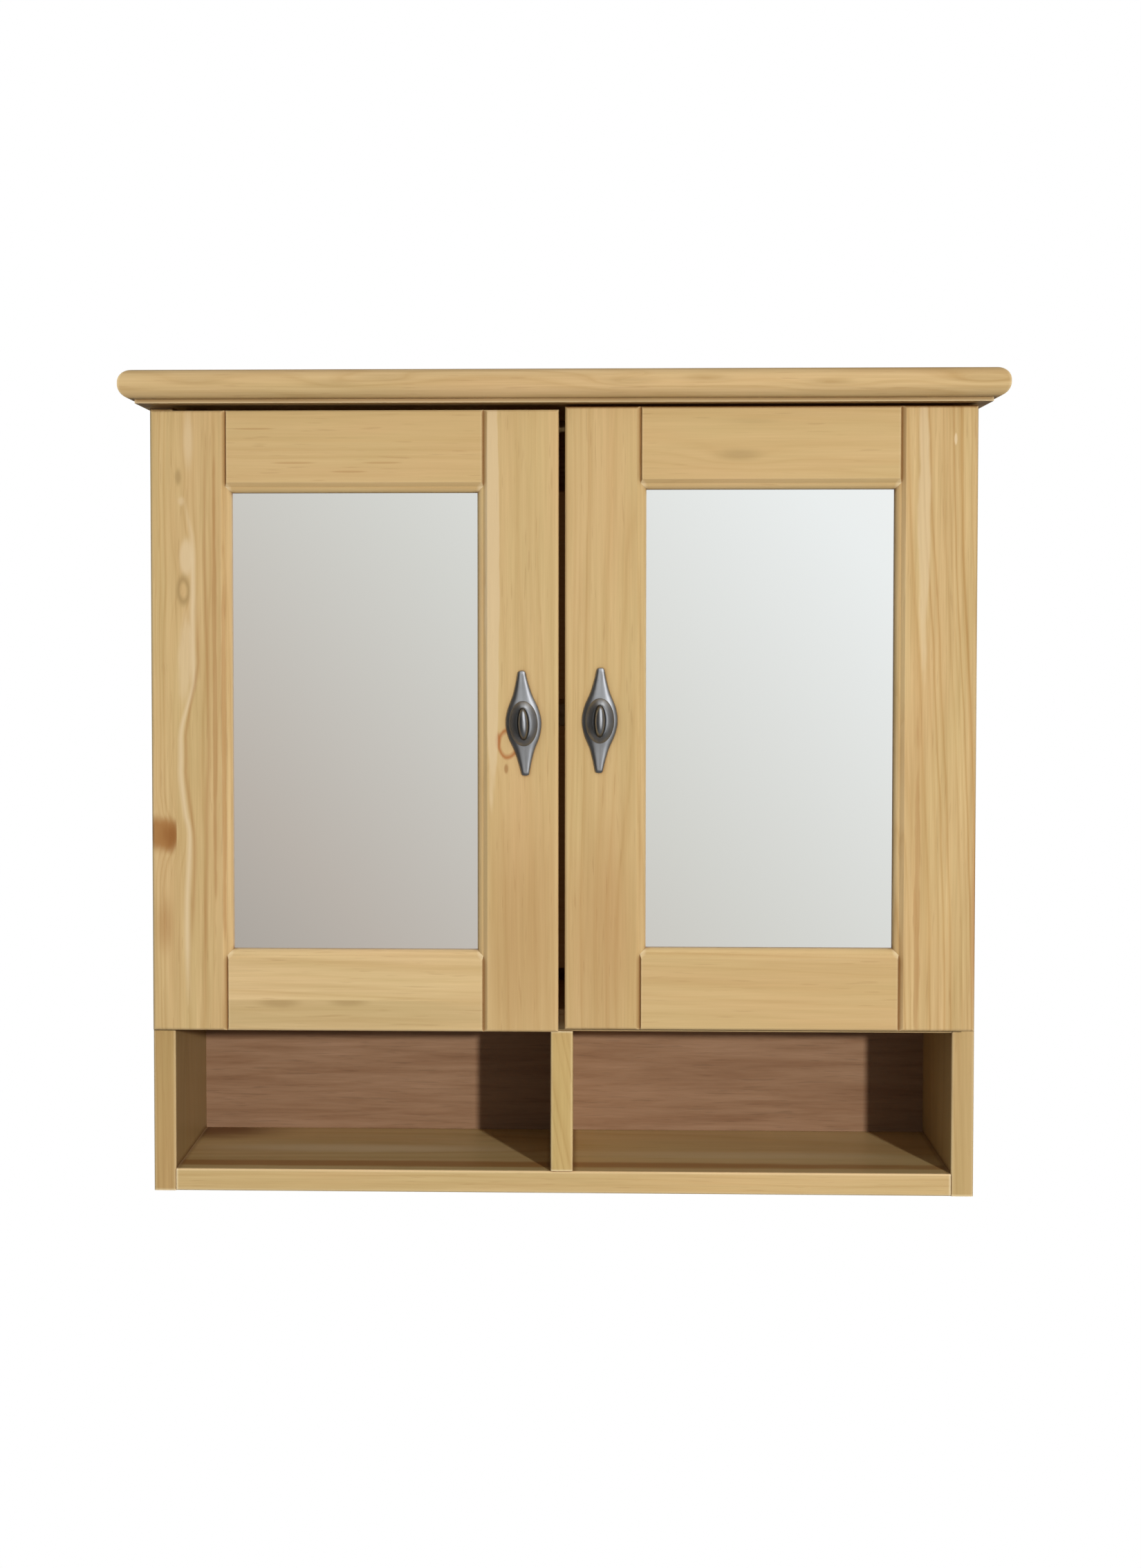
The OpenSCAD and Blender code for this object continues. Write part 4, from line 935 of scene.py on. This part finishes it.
def makeCorniceTree(sizes, steps):
    tree, given, out = newGeometryTree("corniceProfile", sizes)
    grid = addNode(tree, "GeometryNodeMeshGrid", {"Vertices X": corniceRows, "Vertices Y": corniceCorners})
    index = addNode(tree, "GeometryNodeInputIndex").outputs[0]
    row = calc(tree, "FLOOR", over(tree, plus(tree, index, 0.5), corniceCorners))
    corner = minus(tree, index, times(tree, row, corniceCorners))
    # two quarter-rounds, one over the other: the angle falls from 90 to 0 and then to -90 degrees
    above = over(tree, minus(tree, row, 1.0), steps, clamp=True)
    below = over(tree, minus(tree, row, steps + 2.0), steps, clamp=True)
    angle = times(tree, minus(tree, minus(tree, 1.0, above), below), math.pi / 2)
    radius = given["Edge radius"]
    flatHeight = minus(tree, given["Thickness"], times(tree, radius, 2.0))
    raised = times(tree, calc(tree, "LESS_THAN", row, steps + 1.5), flatHeight)
    height = plus(tree, plus(tree, radius, raised), times(tree, radius, calc(tree, "SINE", angle)))
    back = times(tree, radius, minus(tree, 1.0, calc(tree, "COSINE", angle)))
    # rows past the rounded edges: the underside, the fillet's foot and both inner lines
    atFillet, atFoot, atLast = (calc(tree, "GREATER_THAN", row, 2 * steps + past) for past in (2.5, 3.5, 4.5))
    atInner = calc(tree, "MAXIMUM", atLast, calc(tree, "LESS_THAN", row, 0.5))
    back = choose(tree, atFillet, back, given["Fillet back"])
    back = choose(tree, atInner, back, given["Inner"])
    height = choose(tree, atFoot, plus(tree, height, given["Fillet height"]), 0.0)
    # the four corners: left or right, front or rear
    side = minus(tree, times(tree, calc(tree, "GREATER_THAN", corner, 1.5), 2.0), 1.0)
    front = calc(tree, "LESS_THAN", calc(tree, "ABSOLUTE", minus(tree, corner, 1.5)), 1.0)
    wide = minus(tree, plus(tree, given["Half width"], given["Side overhang"]), back)
    deep = minus(tree, plus(tree, given["Depth"], given["Front overhang"]), back)
    place = combine(tree, times(tree, wide, side), times(tree, deep, front, -1.0),
                    plus(tree, height, given["Bottom"]))
    placed = addNode(tree, "GeometryNodeSetPosition", {"Geometry": grid.outputs["Mesh"], "Position": place})
    endTree(tree, out, placed.outputs[0], given["Material"])
    return tree


def closeCornice(mesh):
    build = bmesh.new()
    build.from_mesh(mesh)
    build.verts.ensure_lookup_table()
    rows = [build.verts[i:i + corniceCorners] for i in range(0, corniceRows * corniceCorners, corniceCorners)]
    build.faces.new(rows[0])
    build.faces.new(rows[-1])
    build.faces.new([row[0] for row in rows] + [row[-1] for row in reversed(rows)])
    bmesh.ops.recalc_face_normals(build, faces=build.faces)
    build.to_mesh(mesh)
    build.free()
    shadeByAngle(mesh, corniceCrease)


cornicePine = nodes["cornice_board"].data.materials[0]
corniceTree = makeCorniceTree(cornice, corniceSteps)
corniceMesh = bakeTree("corniceBoard", bpy.data.meshes.new("corniceStart"), corniceTree, cornice, cornicePine)
closeCornice(corniceMesh)
addPiece(corniceMesh, "carcass", ["cornice_board"], cornicePine)
print("cornice finished")


# screws and nails: one made by nodes and set on every place that its CAD node has

def fastener(headRadius, headHeight, shankRadius, cross=0.55):
    return {"Head radius": headRadius, "Head height": headHeight, "Shank radius": shankRadius, "Cross": cross}


fasteners = {             # {} stands for left and for right
    "hinge_plate_screws": fastener(0.0038, 0.0020, 0.0020),
    "hinge_arm_screws": fastener(0.0036, 0.0020, 0.0020),
    "{}_hinge_cup_screws": fastener(0.0034, 0.0016, 0.0017),
    "{}_door_clip_screws": fastener(0.0030, 0.0012, 0.0015),
    "{}_strike_screw": fastener(0.0029, 0.0011, 0.0015),
    "{}_handle_screw": fastener(0.0038, 0.0022, 0.0019),
    "back_panel_pins": fastener(0.0015, 0.0007, 0.0006, cross=0.0),
}
headForm = {              # shares of the head's radius or height
    "sides": 20, "shankSides": 12,
    "crownHeight": 0.45, "crownTop": 0.66,
    "crossLength": 1.15, "crossWidth": 0.24, "crossMiddle": 0.2,
}
fastenerCrease = 35       # degrees
endShare = 0.2            # how much of a fastener's length counts as its end
mergeDistance = 1e-6


# the points of each loose part of a mesh
def looseParts(mesh):
    build = bmesh.new()
    build.from_mesh(mesh)
    bmesh.ops.remove_doubles(build, verts=build.verts, dist=mergeDistance)
    parts, seen = [], set()
    for start in build.verts:
        if start in seen:
            continue
        seen.add(start)
        part, waiting = [], [start]
        while waiting:
            vert = waiting.pop()
            part.append(vert.co.copy())
            for edge in vert.link_edges:
                other = edge.other_vert(vert)
                if other not in seen:
                    seen.add(other)
                    waiting.append(other)
        parts.append(part)
    build.free()
    return parts


def endRadius(points, middle, axis, end, reach):
    offsets = [point - middle for point in points if abs(point[axis] - end) < reach]
    for offset in offsets:
        offset[axis] = 0
    return max(offset.length for offset in offsets)


# top, outward direction and length of each fastener in a CAD node; the wider end is its head
def fastenerPlaces(nodeName):
    places = []
    for points in looseParts(nodes[nodeName].data):
        low = Vector([min(point[i] for point in points) for i in range(3)])
        high = Vector([max(point[i] for point in points) for i in range(3)])
        middle, size = (low + high) / 2, high - low
        axis = max(range(3), key=lambda i: size[i])
        lowRadius, highRadius = (endRadius(points, middle, axis, end[axis], endShare * size[axis])
                                 for end in (low, high))
        headUp = highRadius > lowRadius
        top, outwards = middle.copy(), Vector((0, 0, 0))
        top[axis] = high[axis] if headUp else low[axis]
        outwards[axis] = 1 if headUp else -1
        places.append((top, outwards, size[axis]))
    return places


def lowered(tree, geometry, depth):
    down = combine(tree, z=times(tree, depth, -1.0))
    return addNode(tree, "GeometryNodeTransform", {"Geometry": geometry, "Translation": down}).outputs[0]


def makeFastenerTree(form):
    tree, given, out = newGeometryTree("fastener", {**fastener(0.003, 0.002, 0.0015), "Length": 0.014})
    radius, tall, crownHeight = given["Head radius"], given["Head height"], form["crownHeight"]
    crown = addNode(tree, "GeometryNodeMeshCone", {
        "Vertices": form["sides"], "Radius Top": times(tree, radius, form["crownTop"]),
        "Radius Bottom": radius, "Depth": times(tree, tall, crownHeight)}).outputs["Mesh"]
    collar = addNode(tree, "GeometryNodeMeshCylinder", {
        "Vertices": form["sides"], "Radius": radius,
        "Depth": times(tree, tall, 1 - crownHeight)}).outputs["Mesh"]
    shank = addNode(tree, "GeometryNodeMeshCylinder", {
        "Vertices": form["shankSides"], "Radius": given["Shank radius"],
        "Depth": minus(tree, given["Length"], tall)}).outputs["Mesh"]
    head = addNode(tree, "GeometryNodeMeshBoolean", operation="UNION")
    for part, depth in ((crown, crownHeight), (collar, (1 + crownHeight) / 2)):
        tree.links.new(lowered(tree, part, times(tree, tall, depth)), head.inputs["Mesh 2"])
    # the cross recess
    arms = addNode(tree, "GeometryNodeJoinGeometry")
    shares = (form["crossLength"], form["crossWidth"])
    for x, y in (shares, shares[::-1]):
        size = combine(tree, times(tree, radius, x), times(tree, radius, y),
                       times(tree, tall, given["Cross"], 2.0))
        arm = addNode(tree, "GeometryNodeMeshCube", {"Size": size}).outputs["Mesh"]
        tree.links.new(lowered(tree, arm, times(tree, tall, form["crossMiddle"])), arms.inputs[0])
    recess = addNode(tree, "GeometryNodeMeshBoolean", {"Mesh 1": head.outputs[0], "Mesh 2": arms.outputs[0]},
                     operation="DIFFERENCE")
    crossed = calc(tree, "GREATER_THAN", given["Cross"], 0.01)
    chosen = choose(tree, crossed, head.outputs[0], recess.outputs[0], "GEOMETRY")
    whole = addNode(tree, "GeometryNodeJoinGeometry", {0: chosen})
    half = times(tree, plus(tree, given["Length"], tall), 0.5)
    tree.links.new(lowered(tree, shank, half), whole.inputs[0])
    # a copy on each point, turned outwards
    outwards = addNode(tree, "GeometryNodeInputNamedAttribute", {"Name": "outwards"},
                       data_type="FLOAT_VECTOR")
    turn = addNode(tree, "FunctionNodeAlignRotationToVector", {"Vector": outwards.outputs[0]}, axis="Z")
    points = addNode(tree, "GeometryNodeMeshToPoints", {"Mesh": given["Geometry"]})
    copies = addNode(tree, "GeometryNodeInstanceOnPoints", {
        "Points": points.outputs[0], "Instance": whole.outputs[0], "Rotation": turn.outputs[0]})
    endTree(tree, out, copies.outputs[0], given["Material"])
    return tree


fastenerTree = makeFastenerTree(headForm)
fastenerSizes = {pattern.format(side): sizes for pattern, sizes in fasteners.items() for side in sides}
for nodeName, sizes in fastenerSizes.items():
    places = fastenerPlaces(nodeName)
    points = bpy.data.meshes.new("places_" + nodeName)
    points.from_pydata([top for top, outwards, length in places], [], [])
    pointing = points.attributes.new("outwards", "FLOAT_VECTOR", "POINT")
    for number, (top, outwards, length) in enumerate(places):
        pointing.data[number].vector = outwards
    made = bakeTree("made_" + nodeName, points, fastenerTree, dict(sizes, Length=places[0][2]), zinc)
    shadeByAngle(made, fastenerCrease)
    body = nodeName.split("_")[0] + "_door" if nodeName.startswith(sides) else "carcass"
    addPiece(made, body, [nodeName], zinc)
print("fasteners finished:", len(fastenerSizes))


# floor and lamp

floor = {
    "height": -0.9, "left": -2.4, "right": 2.4, "front": -2.6, "rear": 0.9,
    "tone": 0.2, "roughness": 0.9, "specular": 0.1,
    "seenTone": 0.25, "seenGlow": 0.75,       # what the camera sees of it
}
keyLamp = {
    "place": (1.31, -2.98, 0.78),
    "aim": (0, -0.15, 0.33),
    "size": 0.12,
    "power": 77,
    "reach": 3.05,        # the lamp is as strong at any distance as it would be here
}


def addFloor(sizes):
    left, right, front, rear = (sizes[name] for name in ("left", "right", "front", "rear"))
    mesh = bpy.data.meshes.new("studioFloor")
    corners = ((left, front), (right, front), (right, rear), (left, rear))
    mesh.from_pydata([(x, y, sizes["height"]) for x, y in corners], [], [(0, 1, 2, 3)])
    plane = addObject("studioFloor", mesh)
    material, tree, shader = newMaterial("studioFloor", grey(sizes["tone"]), sizes["roughness"],
                                         specular=sizes["specular"])
    glow = addNode(tree, "ShaderNodeEmission", {"Color": grey(1), "Strength": sizes["seenGlow"]})
    dim = addNode(tree, "ShaderNodeBsdfDiffuse", {"Color": grey(sizes["seenTone"])})
    seen = addNode(tree, "ShaderNodeAddShader", {0: glow.outputs[0], 1: dim.outputs[0]})
    path = addNode(tree, "ShaderNodeLightPath").outputs
    mixed = addNode(tree, "ShaderNodeMixShader",
                    {0: path["Is Camera Ray"], 1: shader.outputs[0], 2: seen.outputs[0]})
    setInputs(tree, tree.nodes["Material Output"], {"Surface": mixed.outputs[0]})
    mesh.materials.append(material)


def addKeyLamp(lamp):
    data = bpy.data.lights.new("keyLamp", "AREA")
    data.shape = "DISK"
    data.size = lamp["size"]
    data.energy = lamp["power"]
    data.use_nodes = True
    even = addNode(data.node_tree, "ShaderNodeLightFalloff", {"Strength": 1 / lamp["reach"] ** 2})
    setInputs(data.node_tree, data.node_tree.nodes["Emission"], {"Strength": even.outputs["Constant"]})
    placed = addObject("keyLamp", data)
    placed.location = lamp["place"]
    aim = Vector(lamp["aim"]) - Vector(lamp["place"])
    placed.rotation_euler = aim.to_track_quat("-Z", "Y").to_euler()
    placed.visible_glossy = False


# world: directions are x to the right, y away from the camera and z up; a fade is axis, start and end

room = {                  # what metals and mirrors reflect
    "middle": 0.70, "toRight": 0.87, "upwards": 0.80,
    "dimmed": [(1, 0.2, -0.75, 0.28), (0, -0.60, -0.22, 0.18), (2, -0.62, -0.25, 0.25),
               (0, 0.98, 0.74, 0.30)],        # the last value is what is left at the start
    "window": [(0, 0.20, 0.36), (0, 0.78, 0.60), (2, -0.30, 0.05), (1, 0.1, -0.5)],
    "windowGain": 1.5,
    "tones": [(0.0, (0.06, 0.058, 0.055, 1)), (0.30, (0.25, 0.23, 0.21, 1)), (0.50, (0.52, 0.475, 0.43, 1)),
              (0.66, (0.69, 0.69, 0.655, 1)), (0.84, (0.89, 0.915, 0.915, 1)), (1.0, (1, 1, 1, 1))],
}
fill = {                  # what lights the rest
    "colour": (0.94, 0.98, 1, 1),
    "upwards": (-0.35, 0.75), "below": 0.08, "above": 0.26,
    "left": 0.7, "fromLeft": [(0, -0.5, -0.9), (1, 0.3, -0.1)],
    "rear": 0.45, "fromRear": [(1, 0.1, 0.7)],
}


def fade(tree, value, start, end, low=0.0, high=1.0):
    return addNode(tree, "ShaderNodeMapRange",
                   {"Value": value, "From Min": start, "From Max": end, "To Min": low, "To Max": high},
                   interpolation_type="SMOOTHSTEP").outputs[0]


def fadeAll(tree, axes, fades, share=1.0):
    for axis, *limits in fades:
        share = times(tree, share, fade(tree, axes[axis], *limits))
    return share


def addWorld():
    world = bpy.data.worlds.new("studioWorld")
    bpy.context.scene.world = world
    world.use_nodes = True
    tree = world.node_tree
    tree.nodes.clear()
    path = addNode(tree, "ShaderNodeLightPath").outputs
    axes = splitAxes(tree, addNode(tree, "ShaderNodeTexCoord").outputs["Generated"])
    level = scaled(tree, axes[0], room["toRight"], room["middle"])
    level = fadeAll(tree, axes, room["dimmed"], scaled(tree, axes[2], room["upwards"], level, clamp=True))
    brightness = scaled(tree, fadeAll(tree, axes, room["window"]), room["windowGain"], 1.0)
    ambient = fade(tree, axes[2], *fill["upwards"], fill["below"], fill["above"])
    ambient = scaled(tree, fadeAll(tree, axes, fill["fromLeft"]), fill["left"], ambient)
    ambient = scaled(tree, fadeAll(tree, axes, fill["fromRear"]), fill["rear"], ambient)
    reflected, soft, white = (
        addNode(tree, "ShaderNodeBackground", {"Color": colour, "Strength": strength}).outputs[0]
        for colour, strength in ((ramp(tree, level, room["tones"]), brightness), (fill["colour"], ambient),
                                 (grey(1), 1.0)))
    inner = addNode(tree, "ShaderNodeMixShader", {0: path["Is Glossy Ray"], 1: soft, 2: reflected})
    clear = calc(tree, "MAXIMUM", path["Is Camera Ray"], path["Is Transmission Ray"])
    outer = addNode(tree, "ShaderNodeMixShader", {0: clear, 1: inner.outputs[0], 2: white})
    addNode(tree, "ShaderNodeOutputWorld", {"Surface": outer.outputs[0]})


addCamera(cameraView)
addFloor(floor)
addKeyLamp(keyLamp)
addWorld()
bpy.context.scene.view_settings.view_transform = "Standard"
print("camera, floor and lamps placed")
